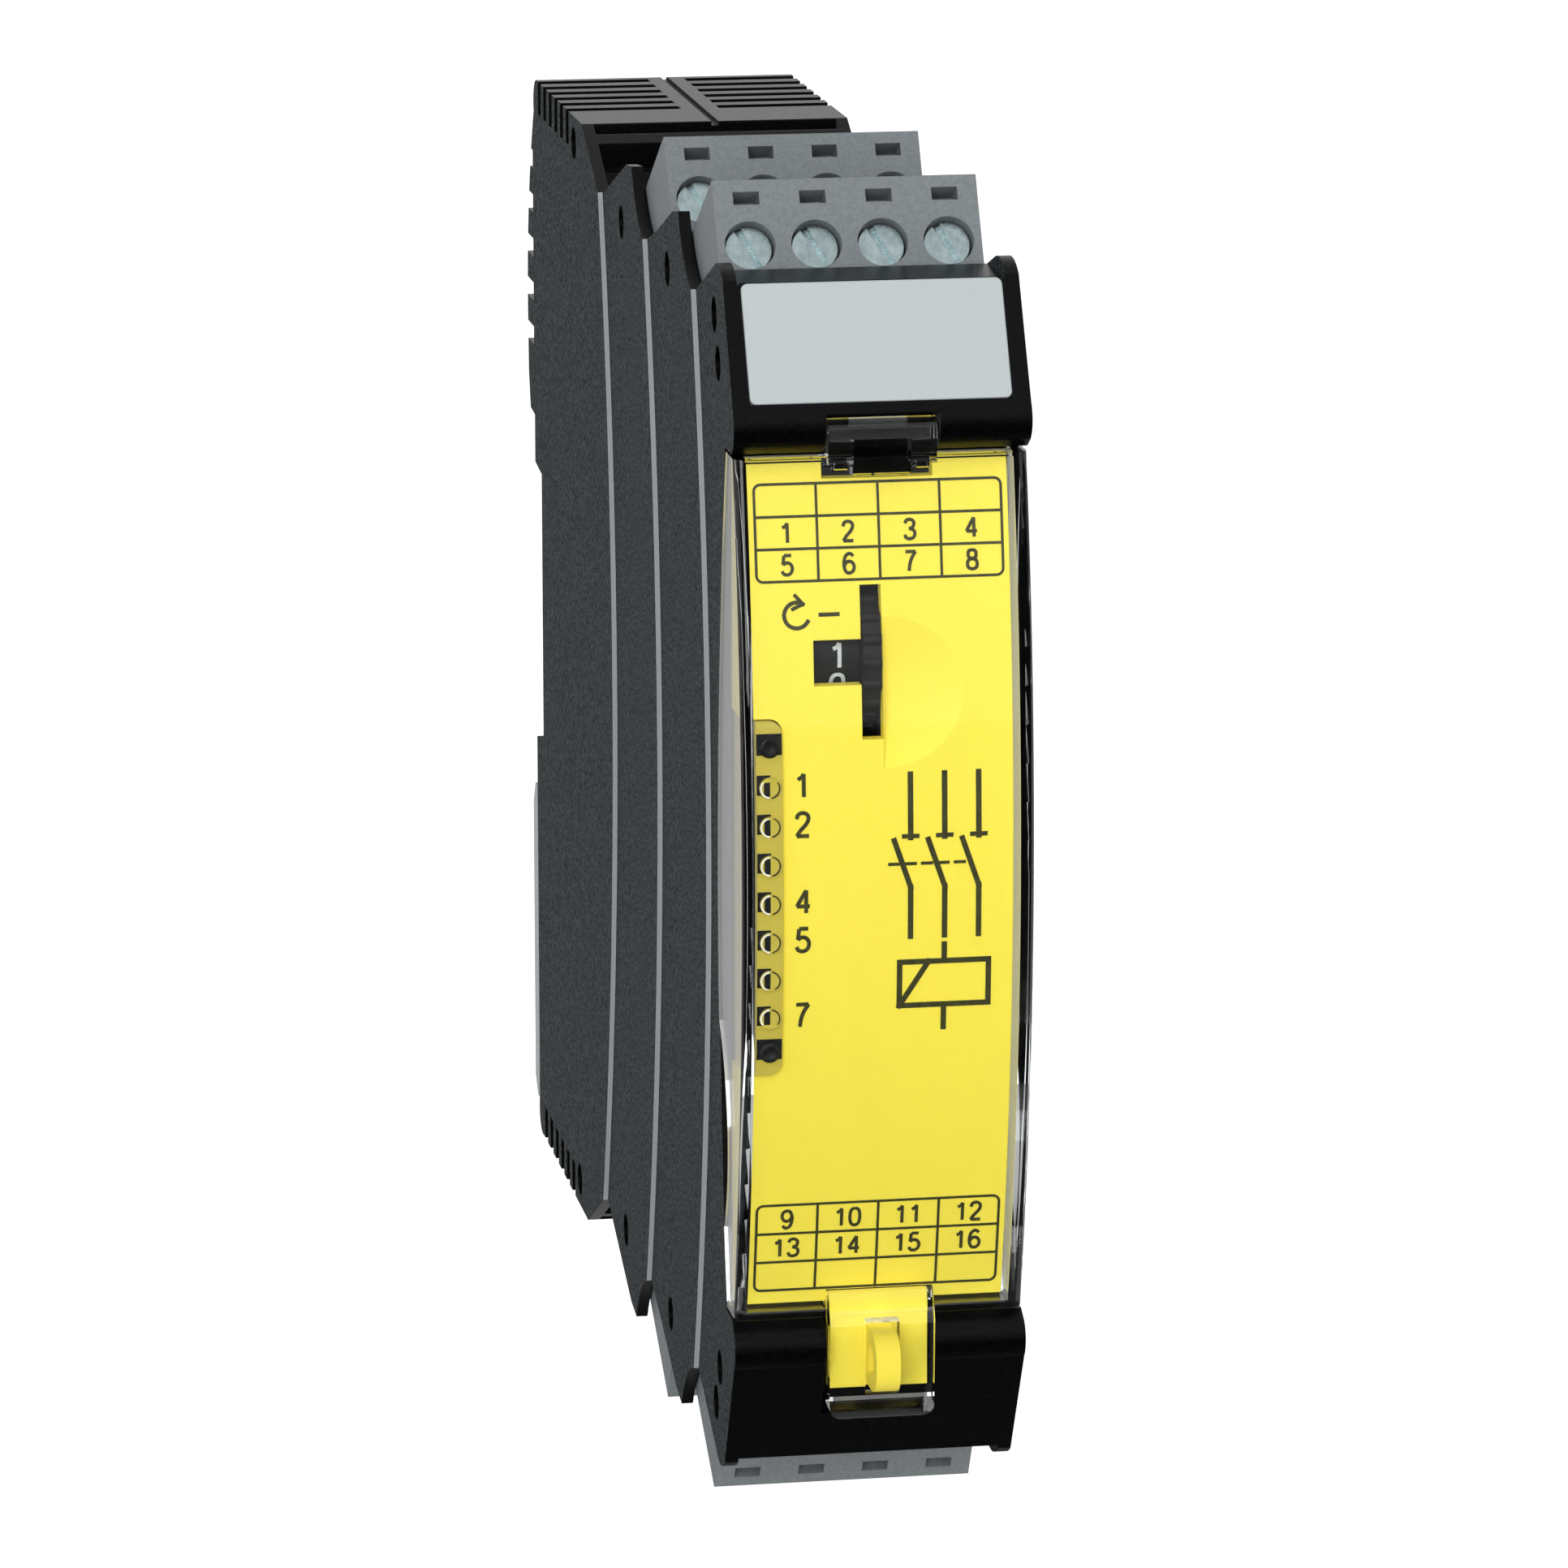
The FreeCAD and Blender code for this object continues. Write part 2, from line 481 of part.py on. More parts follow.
def clear_cover():
    front_end = COVER_FRONT + bow(COVER_TOP)
    edge_end = COVER_EDGE - bow(COVER_TOP)
    outer = profile([
        (front_end, COVER_TOP), (COVER_FRONT, 0, front_end, -COVER_TOP),
        (edge_end, -COVER_TOP), (COVER_EDGE, 0, edge_end, COVER_TOP)], (-COVER_HALF, COVER_HALF))
    front_edges = [e for e in outer.Edges
                   if abs(abs(e.CenterOfMass.x) - COVER_HALF) < 0.01
                   and e.CenterOfMass.y < front_end and e.Length > 20.0]
    outer = outer.makeFillet(0.7, front_edges)
    inside = COVER_TOP - COVER_TOP_WALL
    inner_front = COVER_FRONT + COVER_WALL
    inner_half = COVER_HALF - COVER_WALL
    inner = bowed_slab(inner_front, inner_front + 30.0, inside, (-inner_half, inner_half))
    shell = outer.cut(inner)
    finger = profile([
        (COVER_EDGE + 2.0, -11.5), (COVER_EDGE - 0.5, -11.5),
        (COVER_EDGE - 4.3, -18.6, COVER_EDGE - 2.8, -27.2), (COVER_EDGE + 2.0, -27.2)], (-HALF, HALF))
    tongue_room = box((-TONGUE_HALF - 0.3, TONGUE_HALF + 0.3), (TONGUE_Y[0] - 0.35, COVER_EDGE),
                      (-COVER_TOP - 1.0, -COVER_TOP + 2.2))
    swing_room = box((-inner_half, inner_half), (HINGE_Y + 1.2, COVER_EDGE),
                     (inside - 0.1, COVER_TOP + 1.0))
    shell = shell.cut([finger, tongue_room, swing_room])
    arm = box((-KNUCKLE_HALF, KNUCKLE_HALF), (HINGE_Y - 0.9, HINGE_Y + 0.9), (inside, HINGE_Z))
    opening = box((-2.2, 2.2), (AHEAD, HINGE_Y + 3.0), (COVER_TOP - 1.4, HINGE_Z - 0.4))
    windows = [box((x - 0.5, x + 0.5), (AHEAD, HINGE_Y), (COVER_TOP - 0.95, COVER_TOP - 0.4))
               for x in (-3.1, 3.1)]
    knuckle = rod_x((-KNUCKLE_HALF, KNUCKLE_HALF), HINGE_Y, HINGE_Z, KNUCKLE_RADIUS)
    pins = rod_x((-PIN_END, PIN_END), HINGE_Y, HINGE_Z, PIN_RADIUS)
    y, z = HINGE_Y - 1.1, TAB_END
    tab = profile([
        (y + 0.5, z + 10.6), (y - 0.3, z + 9.4), (y - 0.9, z + 7.8), (y - 0.65, z + 1.6),
        (y - 0.4, z + 0.2, y + 0.6, z), (y + 1.7, z), (y + 1.7, z + 1.1), (y + 0.7, z + 1.4),
        (y + 0.4, z + 1.8), (y + 0.2, z + 7.4), (y + 0.75, z + 8.5), (y + 1.0, z + 9.0)],
        (-TAB_HALF, TAB_HALF))
    outline = box((-TAB_HALF, TAB_HALF), (y - 2.0, y + 3.0), (z, z + 14.0))
    corners = [e for e in outline.Edges if abs(e.CenterOfMass.z - z) < 0.01 and abs(e.CenterOfMass.x) > 1.0]
    tab = tab.common(outline.makeFillet(1.2, corners))
    slot = box((-EYE_HALF - 0.35, EYE_HALF + 0.35), (AHEAD, HINGE_Y + 1.6), (z + 2.1, z + 7.8))
    cover = fused([shell, arm, knuckle, pins, tab])
    return cover.cut([slot, opening] + windows)


def light_guide():
    bar_front = PLATE_FRONT - 0.4
    bar = bowed_slab(bar_front, LED_FRONT, GUIDE_HALF, GUIDE_X)
    bar = bar.common(round_ended(GUIDE_X, (AHEAD, PANEL_EDGE), (-GUIDE_HALF, GUIDE_HALF), GUIDE_ROUND))
    rear = box((-HALF, HALF), (LED_FRONT, PANEL_EDGE), (-COVER_TOP, COVER_TOP))
    pipes = [rod_y(LED_X, (bar_front - 0.25 + bow(z), PLATE_REAR + 1.0), z, PIPE_RADIUS) for z in LED_Z]
    return fused([bar.cut(rear)] + pipes)


def indicator_leds():
    y = (LED_FRONT, FRONT_BOARD_Y[0])
    lights = [box((LED_X + 0.05, LED_X + 1.0), y, (z - 0.8, z + 0.8)) for z in LED_Z]
    return Part.makeCompound(lights)


def mode_wheel():
    disc = rod_x(WHEEL_X, WHEEL_Y, WHEEL_Z, WHEEL_RADIUS - 0.3)
    bumps = []
    for k in range(KNURLS):
        a = 2 * math.pi * k / KNURLS
        r = WHEEL_RADIUS - 0.45
        bumps.append(rod_x(WHEEL_X, WHEEL_Y + r * math.cos(a), WHEEL_Z + r * math.sin(a), 0.45))
    drum = rod_x((DRUM_X, WHEEL_X[0] + 0.2), WHEEL_Y, WHEEL_Z, DRUM_RADIUS)
    axle = rod_x(AXLE_X, WHEEL_Y, WHEEL_Z, AXLE_RADIUS)
    return fused([disc] + bumps + [drum, axle])


def mode_switch():
    """Yoke that carries the wheel behind the front plate."""
    z = (WHEEL_Z - SWITCH_HALF, WHEEL_Z + SWITCH_HALF)
    room = 0.2
    front = PLATE_REAR + bow(z[1]) + 0.05
    rear = WHEEL_Y + WHEEL_RADIUS + room
    yoke = box(AXLE_X, (front, rear + 1.0), z)
    wheel_room = box((DRUM_X - room, WHEEL_X[1] + room), (AHEAD, rear), (z[0] - 1.0, z[1] + 1.0))
    back = box(AXLE_X, (rear, rear + 1.0), z)
    holes = rod_x((AXLE_X[0] - 1, AXLE_X[1] + 1), WHEEL_Y, WHEEL_Z, AXLE_RADIUS + RUNNING)
    return fused([yoke.cut(wheel_room), back]).cut(holes)


# ---------------------------------------------------------------- terminals
def plug_body():
    """One four-pole plug with its wire entries, screw wells, clamp rooms and contact bars."""
    head = box((-PLUG_HALF, PLUG_HALF), (0.0, PLUG_DEPTH), (-PLUG_HEAD, 0.0))
    tongue = box((-9.0, 9.0), (1.3, 10.7), (-PLUG_HEIGHT, -PLUG_HEAD))
    plug = head.fuse(tongue)
    cuts = []
    for x in POLES:
        cuts.append(rod_y(x, (-0.5, HEAD_SEAT), SCREW_Z, WELL_RADIUS))
        cuts.append(rod_y(x, (HEAD_SEAT - 0.1, CHAMBER_FRONT + 0.1), SCREW_Z, SHANK_RADIUS + RUNNING))
        cuts.append(box((x - CHAMBER_HALF, x + CHAMBER_HALF), (CHAMBER_FRONT, CHAMBER_REAR),
                        (CHAMBER_BOTTOM, CHAMBER_TOP)))
        cuts.append(box((x - 1.6, x + 1.6), (7.2, 10.0), (CHAMBER_TOP - 0.1, 1.0)))
        cuts.append(box((x - 1.0, x + 1.0), (-0.5, 2.4), (-1.5 - 0.52, -1.5 + 0.52)))
        cuts.append(box((x - 0.7, x + 0.7), (5.1, 6.5), (-PLUG_HEIGHT - 0.5, -8.6)))
        cuts.append(funnel(x))
    plug = plug.cut(cuts)
    bars = []
    for x in POLES:
        bars.append(box((x - 1.0, x + 1.0), (BAR_FRONT, BAR_FRONT + BAR_THICK), (-13.0, CHAMBER_TOP + 0.5)))
    return fused([plug] + bars)


def funnel(x):
    """Bevelled mouth of a wire entry."""
    low = Part.makePolygon([Vector(x - 1.6, 7.2, -0.8), Vector(x + 1.6, 7.2, -0.8),
                            Vector(x + 1.6, 10.0, -0.8), Vector(x - 1.6, 10.0, -0.8),
                            Vector(x - 1.6, 7.2, -0.8)])
    high = Part.makePolygon([Vector(x - 2.0, 6.8, 0.1), Vector(x + 2.0, 6.8, 0.1),
                             Vector(x + 2.0, 10.5, 0.1), Vector(x - 2.0, 10.5, 0.1),
                             Vector(x - 2.0, 6.8, 0.1)])
    return Part.makeLoft([low, high], True)


def terminal_screw(x):
    """Slotted screw; its slot leans as it was left by the screwdriver."""
    head = rod_y(x, (HEAD_TOP, HEAD_SEAT), SCREW_Z, HEAD_RADIUS)
    shank = rod_y(x, (HEAD_SEAT - 0.1, BAR_FRONT), SCREW_Z, SHANK_RADIUS)
    slot = box((-3.0, 3.0), (-3.0, HEAD_TOP + 0.6), (-0.3, 0.3))
    slot.rotate(Vector(0, 0, 0), Vector(0, 1, 0), 65)
    slot.translate(Vector(x, 0, SCREW_Z))
    return fused([head, shank]).cut(slot)


def clamp_cage(x):
    depth = CAGE_TOP_WALL + CAGE_WINDOW + CAGE_BOTTOM_WALL
    z = (SCREW_Z - CAGE_HEIGHT / 2, SCREW_Z + CAGE_HEIGHT / 2)
    cage = box((x - CAGE_HALF, x + CAGE_HALF), (CAGE_FRONT, CAGE_FRONT + depth), z)
    window_front = CAGE_FRONT + CAGE_TOP_WALL
    window = box((x - CAGE_WINDOW_HALF, x + CAGE_WINDOW_HALF),
                 (window_front, window_front + CAGE_WINDOW), (z[0] - 1, z[1] + 1))
    thread = rod_y(x, (CAGE_FRONT - 1, window_front + 0.1), SCREW_Z, SHANK_RADIUS + RUNNING)
    return cage.cut([window, thread])


def pin_header():
    """Shrouded header at the bottom of a bay, with its four pins moulded in."""
    block = box((-10.1, 10.1), (0.0, PLUG_DEPTH), (-BAY_FLOOR, -8.3))
    room = box((-9.2, 9.2), (1.1, 10.9), (-14.0, -8.0))
    root = box((-8.4, 8.4), (4.7, 7.3), (-20.0, -BAY_FLOOR))
    pins = [box((x - 0.5, x + 0.5), (5.3, 6.3), (-21.5, -9.2)) for x in POLES]
    return fused([block.cut(room), root] + pins)


# ---------------------------------------------------------------- inside
def main_board():
    board = box(MAIN_BOARD_X, (PANEL_EDGE + 4.0, -RECESS_DEPTH - 2.4), (-BOARD_HALF, BOARD_HALF))
    notches = []
    for level in ("rear", "front"):
        y = PLUG_RIDGE_Y[level]
        notch = box((-CAVITY_HALF, CAVITY_HALF), (y - 6.7, y - 0.2), (BOARD_HALF - 3.8, ABOVE))
        notches += [notch, mirrored_z(notch)]
    return board.cut(notches)


def front_board():
    board = box((-NECK_INNER, NECK_INNER), FRONT_BOARD_Y, (-BOARD_HALF + 1.2, BOARD_HALF - 1.2))
    room = 0.2
    return board.cut(box((AXLE_X[0] - room, AXLE_X[1] + room), (AHEAD, PANEL_EDGE),
                         (WHEEL_Z - SWITCH_HALF - room, WHEEL_Z + SWITCH_HALF + room)))


def board_link():
    return box((MAIN_BOARD_X[1], MAIN_BOARD_X[1] + 2.5), (FRONT_BOARD_Y[1], PANEL_EDGE + 8.0), (-12.0, 5.0))


RELAY_X = (MAIN_BOARD_X[1], 6.4)
RELAY_PLACES = {"relay_1": (-34.0, 1.0), "relay_2": (-34.0, -30.0), "relay_3": (-62.5, 1.0)}


def relay(y, z):
    body = box(RELAY_X, (y, y + 24.5), (z, z + 29.0))
    uprights = [e for e in body.Edges if abs(e.BoundBox.XLength - (RELAY_X[1] - RELAY_X[0])) < 0.01]
    return body.makeFillet(0.8, uprights)


def transformer():
    x = RELAY_X
    core = box((x[0] + 1.0, x[1] - 1.0), (-60.0, -40.0), (-28.0, -8.0))
    window = [box((x[0] - 1, x[1] + 1), (y, y + 5.0), (-24.5, -11.5)) for y in (-57.0, -48.0)]
    coil = rod_x((x[0], x[1] - 1.5), -50.0, -18.0, 6.3)
    base = box((x[0], x[0] + 1.2), (-61.0, -39.0), (-29.0, -7.0))
    return fused([core.cut(window), coil, base])


def capacitors():
    cans = []
    for y, z in ((-72.0, 8.0), (-72.0, -4.0)):
        can = rod_x((MAIN_BOARD_X[1], 7.4), y, z, 5.0)
        can = can.makeFillet(0.5, can.Edges[:1])
        cans.append(can)
    return Part.makeCompound(cans)


# ---------------------------------------------------------------- rail foot
def foot_latch():
    y0, y1 = FOOT_Y
    slab = profile([
        (y0, FOOT_Z[1]), (1.3, FOOT_Z[1]), (1.3, CLAW_Z - 0.4), (1.9, CLAW_Z), (2.5, CLAW_Z),
        (y1, CLAW_Z - 2.0), (y1, FOOT_Z[0] + 1.5), (y1 - 1.5, FOOT_Z[0]), (y0, FOOT_Z[0])],
        (-FOOT_HALF, FOOT_HALF))
    bottom = FOOT_Z[0] + 0.5
    rib_neck = box((-RIB_NECK_HALF, RIB_NECK_HALF), (RIB_NECK - 0.1, y0 + 0.1), (bottom, FOOT_Z[1] - 1.0))
    rib = box((-RIB_HALF, RIB_HALF), (RIB_DEEP, RIB_NECK), (bottom, FOOT_Z[1] - 1.0))
    spring_room = box((-2.3, 2.3), (RIB_DEEP - 1, 0.0), (SPRING_Z[0], FOOT_Z[1]))
    pry_slot = box((-2.5, 2.5), (1.2, 2.6), (FOOT_Z[0] - 1, FOOT_Z[0] + 4.0))
    return fused([slab, rib_neck, rib]).cut([spring_room, pry_slot])


SPRING_Z = (-29.0, FOOT_Z[1] + 0.6)
SPRING_RADIUS = 1.45
SPRING_WIRE = 0.25


def foot_spring():
    """Drawn coil between the housing above and the foot below."""
    y = RIB_DEEP - FOOT_GAP + SPRING_RADIUS + SPRING_WIRE
    ends = 0.4
    low, high = SPRING_Z[0] + ends, SPRING_Z[1] - ends
    helix = Part.makeHelix((high - low) / 9.0, high - low, SPRING_RADIUS)
    ring = Part.Wire(Part.makeCircle(SPRING_WIRE, Vector(SPRING_RADIUS, 0, 0), Vector(0, 1, 0)))
    coil = Part.Wire(helix).makePipeShell([ring], True, True)
    coil.translate(Vector(0, y, low))
    lower = box((SPRING_RADIUS - 0.35, SPRING_RADIUS + 0.35), (y - 0.3, y + 0.3), (SPRING_Z[0], low + 0.1))
    upper = box((SPRING_RADIUS - 0.35, SPRING_RADIUS + 0.35), (y - 0.3, y + 0.3), (high - 0.1, SPRING_Z[1]))
    return fused([coil, lower, upper])


# ---------------------------------------------------------------- export
def export(name, shape):
    if not shape.isValid():
        raise ValueError(name + " is not a valid shape")
    shape.exportStep("parts/" + name + ".step")
    b = shape.BoundBox
    print("%-28s %2d solid(s) %9.1f mm3  X %.2f %.2f  Y %.2f %.2f  Z %.2f %.2f" % (
        name, len(shape.Solids), shape.Volume, b.XMin, b.XMax, b.YMin, b.YMax, b.ZMin, b.ZMax))


def main():
    os.makedirs("parts", exist_ok=True)
    left, right = housing_shells()
    export("housing_left", left)
    export("housing_right", right)
    export("front_plate", front_plate())
    export("clear_cover", clear_cover())
    export("marker_plate", marker_recess()[1])
    export("light_guide", light_guide())
    export("indicator_leds", indicator_leds())
    export("mode_wheel", mode_wheel())
    export("mode_switch", mode_switch())
    export("foot_latch", foot_latch())
    export("foot_spring", foot_spring())
    export("main_board", main_board())
    export("front_board", front_board())
    export("board_link", board_link())
    for name, (y, z) in RELAY_PLACES.items():
        export(name, relay(y, z))
    export("transformer", transformer())
    export("capacitors", capacitors())
    plug, header = plug_body(), pin_header()
    for side in ("top", "bottom"):
        for level in ("front", "rear"):
            place = side + "_" + level
            export("plug_" + place, at_bay(plug, level, side))
            export("header_" + place, at_bay(header, level, side))
            for k, x in enumerate(POLES):
                export("screw_%s_%d" % (place, k + 1), at_bay(terminal_screw(x), level, side))
                export("clamp_%s_%d" % (place, k + 1), at_bay(clamp_cage(x), level, side))


main()
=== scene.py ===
# %% [markdown]
# # A safety relay for a 35 mm rail: its looks
# The solids of this relay are already right: two shells, four terminal plugs, a clear cover over a yellow
# plate, and the parts inside. They come in as a fixed frame, so this lesson keeps them and spends its work
# on finishes and on the fine things that a solid does not carry, such as the print, the numbers on the
# wheel and the marks of the lights.

# %% Load the frame
import math
import bpy
import numpy as np
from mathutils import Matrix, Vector


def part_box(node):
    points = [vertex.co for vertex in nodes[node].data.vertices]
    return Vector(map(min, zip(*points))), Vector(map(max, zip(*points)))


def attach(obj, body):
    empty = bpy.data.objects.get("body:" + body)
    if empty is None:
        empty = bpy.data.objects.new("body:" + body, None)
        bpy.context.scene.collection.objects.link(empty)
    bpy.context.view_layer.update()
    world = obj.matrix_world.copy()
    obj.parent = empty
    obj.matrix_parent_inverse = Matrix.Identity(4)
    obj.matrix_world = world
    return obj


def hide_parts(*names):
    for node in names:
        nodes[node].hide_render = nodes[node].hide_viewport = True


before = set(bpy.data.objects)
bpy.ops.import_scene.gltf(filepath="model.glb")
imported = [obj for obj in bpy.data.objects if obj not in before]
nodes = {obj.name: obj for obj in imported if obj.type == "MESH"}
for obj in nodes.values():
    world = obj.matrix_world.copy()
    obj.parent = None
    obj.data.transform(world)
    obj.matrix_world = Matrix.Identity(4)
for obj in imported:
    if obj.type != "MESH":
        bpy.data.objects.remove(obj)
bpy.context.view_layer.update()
MM = 0.001

# %% [markdown]
# ## Measures taken from the solids
# The front of this relay is bowed: every long line and face of it is part of one large circle. Print has to
# lie on that bow, so the first helper says how far the bow has fallen back at a height. The wheel's centre
# comes from the box of its node, so that a change in the solids carries through; the other measures are
# given.

# %% Measures
BOW_RADIUS = 138.0


def bow(z):
    """How far the front lies behind its middle at height z: the radius less the leg of the right triangle
    whose long side is the radius and whose other leg is z. All in millimetres."""
    return BOW_RADIUS - np.sqrt(BOW_RADIUS ** 2 - np.asarray(z, float) ** 2)


def box_mm(node):
    """Lowest and highest corner of a node, in millimetres."""
    low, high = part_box(node)
    return np.array(low) / MM, np.array(high) / MM


PLATE_FRONT = -109.4
_, WHEEL_Y, WHEEL_Z = sum(box_mm("mode_wheel")) / 2
DRUM_RADIUS = 3.8
LIGHT_X = -8.75
TOP_LIGHT_Z, LIGHT_PITCH, LIGHT_COUNT = 8.65, 2.95, 7
LIGHT_Z = [TOP_LIGHT_Z - LIGHT_PITCH * k for k in range(LIGHT_COUNT)]
print("wheel centre y %.2f z %.2f mm" % (WHEEL_Y, WHEEL_Z))

# %% [markdown]
# ## Two shader groups that many finishes share
# Moulded plastic is never one flat colour. A spark-eroded mould leaves a fine grain with lighter and darker
# points, and the melt leaves slow changes of tone. Both effects are used by nearly every material here, so
# each is a group: it takes a position and sizes, and gives values that change over the surface. The shader
# itself stays in each material.

# %% Shader groups
def start_group(name, inputs, outputs):
    """An empty shader group with the named sockets, and its two end nodes."""
    group = bpy.data.node_groups.new(name, "ShaderNodeTree")
    for label, kind, value in inputs:
        socket = group.interface.new_socket(name=label, in_out="INPUT", socket_type=kind)
        if value is not None:
            socket.default_value = value
    for label in outputs:
        group.interface.new_socket(name=label, in_out="OUTPUT", socket_type="NodeSocketFloat")
    return group, group.nodes.new("NodeGroupInput"), group.nodes.new("NodeGroupOutput")


def math_node(tree, operation, a, b=None, clamp=False):
    """One Math node. Each of a and b is a socket or a number."""
    node = tree.nodes.new("ShaderNodeMath")
    node.operation = operation
    node.use_clamp = clamp
    for k, value in enumerate((a, b)):
        if value is None:
            continue
        if isinstance(value, (int, float)):
            node.inputs[k].default_value = value
        else:
            tree.links.new(value, node.inputs[k])
    return node.outputs[0]


def noise_node(tree, vector, scale, detail, rough=0.5):
    """Noise on a position, at so many waves per metre. The scale may be a socket."""
    node = tree.nodes.new("ShaderNodeTexNoise")
    tree.links.new(vector, node.inputs["Vector"])
    if isinstance(scale, (int, float)):
        node.inputs["Scale"].default_value = scale
    else:
        tree.links.new(scale, node.inputs["Scale"])
    node.inputs["Detail"].default_value = detail
    node.inputs["Roughness"].default_value = rough
    return node.outputs["Fac"]


def make_grain_group():
    """Grain: fine noise pulled apart around its middle for the points, and the same noise as a height."""
    group, start, end = start_group(
        "moulded_grain",
        [("Position", "NodeSocketVector", None), ("Grains per metre", "NodeSocketFloat", 3500.0),
         ("Contrast", "NodeSocketFloat", 2.0)],
        ["Points", "Height"])
    fine = noise_node(group, start.outputs["Position"], start.outputs["Grains per metre"], 3.0, 0.65)
    centred = math_node(group, "SUBTRACT", fine, 0.5)
    pulled = math_node(group, "MULTIPLY", centred, start.outputs["Contrast"])
    group.links.new(math_node(group, "ADD", pulled, 0.5, True), end.inputs["Points"])
    group.links.new(fine, end.inputs["Height"])
    return group


def make_tone_group():
    """Tone: two slow noises added, one round and one drawn out along the height as the melt flowed."""
    group, start, end = start_group(
        "melt_tone",
        [("Position", "NodeSocketVector", None), ("Waves per metre", "NodeSocketFloat", 40.0)],
        ["Tone"])
    stretch = group.nodes.new("ShaderNodeVectorMath")
    stretch.operation = "MULTIPLY"
    stretch.inputs[1].default_value = (3.0, 3.0, 0.35)
    group.links.new(start.outputs["Position"], stretch.inputs[0])
    round_part = noise_node(group, start.outputs["Position"], start.outputs["Waves per metre"], 2.0)
    drawn_part = noise_node(group, stretch.outputs[0], start.outputs["Waves per metre"], 3.0)
    total = math_node(group, "ADD", round_part, drawn_part)
    group.links.new(math_node(group, "MULTIPLY", total, 0.5, True), end.inputs["Tone"])
    return group


GRAIN = make_grain_group()
TONE = make_tone_group()
print("groups:", [g.name for g in bpy.data.node_groups])

# %% [markdown]
# ## A small workbench for materials
# Every finish below follows the same recipe: a position, grain and tone mixed into a colour, grain into the
# roughness and a shallow bump. The class keeps the node tree and the helpers together, so that each finish
# reads as a short list. Colours are written as they look on a screen and turned to linear light once.

# %% Material workbench
def linear(r, g, b):
    """Screen colour from 0 to 255 as linear light: the standard curve of a screen, undone."""
    c = np.array([r, g, b], float) / 255.0
    low = c / 12.92
    high = ((c + 0.055) / 1.055) ** 2.4
    return tuple(float(v) for v in np.where(c <= 0.04045, low, high)) + (1.0,)


class Finish:
    """A material in the making: its tree, its shader and the Object position."""

    def __init__(self, name, roughness=0.5, metallic=0.0, specular=0.5, **sockets):
        self.material = bpy.data.materials.new(name)
        self.material.use_nodes = True
        self.tree = self.material.node_tree
        self.shader = self.tree.nodes["Principled BSDF"]
        self.shader.inputs["Roughness"].default_value = roughness
        self.shader.inputs["Metallic"].default_value = metallic
        self.shader.inputs["Specular IOR Level"].default_value = specular
        for label, value in sockets.items():
            self.shader.inputs[label.replace("_", " ")].default_value = value
        self.position = self.tree.nodes.new("ShaderNodeTexCoord").outputs["Object"]

    def link(self, a, b):
        self.tree.links.new(a, b)

    def group(self, group, **values):
        node = self.tree.nodes.new("ShaderNodeGroup")
        node.node_tree = group
        self.link(self.position, node.inputs["Position"])
        for label, value in values.items():
            node.inputs[label.replace("_", " ")].default_value = value
        return node.outputs

    def mix(self, factor, a, b):
        """Colour a where the factor is 0 and b where it is 1. Each is a colour or a socket."""
        node = self.tree.nodes.new("ShaderNodeMix")
        node.data_type = "RGBA"
        if isinstance(factor, (int, float)):
            node.inputs[0].default_value = factor
        else:
            self.link(factor, node.inputs[0])
        for slot, value in ((6, a), (7, b)):
            if isinstance(value, tuple):
                node.inputs[slot].default_value = value
            else:
                self.link(value, node.inputs[slot])
        return node.outputs[2]

    def colour(self, socket):
        self.link(socket, self.shader.inputs["Base Color"])

    def roughness(self, socket, low, high):
        """Spreads a value from 0 to 1 between two roughnesses."""
        node = self.tree.nodes.new("ShaderNodeMapRange")
        self.link(socket, node.inputs["Value"])
        node.inputs["To Min"].default_value = low
        node.inputs["To Max"].default_value = high
        self.link(node.outputs["Result"], self.shader.inputs["Roughness"])

    def bump(self, height, depth, strength=1.0, edge=0.0):
        """Bump of so many millimetres, over edges softened by so many millimetres."""
        node = self.tree.nodes.new("ShaderNodeBump")
        node.inputs["Strength"].default_value = strength
        node.inputs["Distance"].default_value = depth * MM
        self.link(height, node.inputs["Height"])
        if edge:
            soft = self.tree.nodes.new("ShaderNodeBevel")
            soft.samples = 4
            soft.inputs["Radius"].default_value = edge * MM
            self.link(soft.outputs["Normal"], node.inputs["Normal"])
        self.link(node.outputs["Normal"], self.shader.inputs["Normal"])

    def math(self, operation, a, b=None, clamp=False):
        return math_node(self.tree, operation, a, b, clamp)

    def ramp(self, socket, low, high):
        """0 below low, 1 above high, and a smooth climb between them."""
        node = self.tree.nodes.new("ShaderNodeMapRange")
        node.interpolation_type = "SMOOTHSTEP"
        self.link(socket, node.inputs["Value"])
        node.inputs["From Min"].default_value = low
        node.inputs["From Max"].default_value = high
        return node.outputs["Result"]

    def split(self, socket):
        node = self.tree.nodes.new("ShaderNodeSeparateXYZ")
        self.link(socket, node.inputs[0])
        return node.outputs

    def grain_and_tone(self, colours, grains, contrast, waves, rough, depth, edge=0.0):
        """The common recipe: dark and light grain colours, toned slowly, with bump from the grain."""
        grain = self.group(GRAIN, Grains_per_metre=grains, Contrast=contrast)
        tone = self.group(TONE, Waves_per_metre=waves)
        speckled = self.mix(grain["Points"], linear(*colours[0]), linear(*colours[1]))
        toned = self.mix(tone["Tone"], speckled, linear(*colours[2]))
        fade = self.mix(0.25, speckled, toned)
        self.roughness(grain["Points"], rough[0], rough[1])
        self.bump(grain["Height"], depth, edge=edge)
        return fade


def wear(name, finish):
    """Puts a finish in every material slot of a carried node."""
    mesh = nodes[name].data
    mesh.materials.clear()
    mesh.materials.append(finish.material)


print("workbench ready")
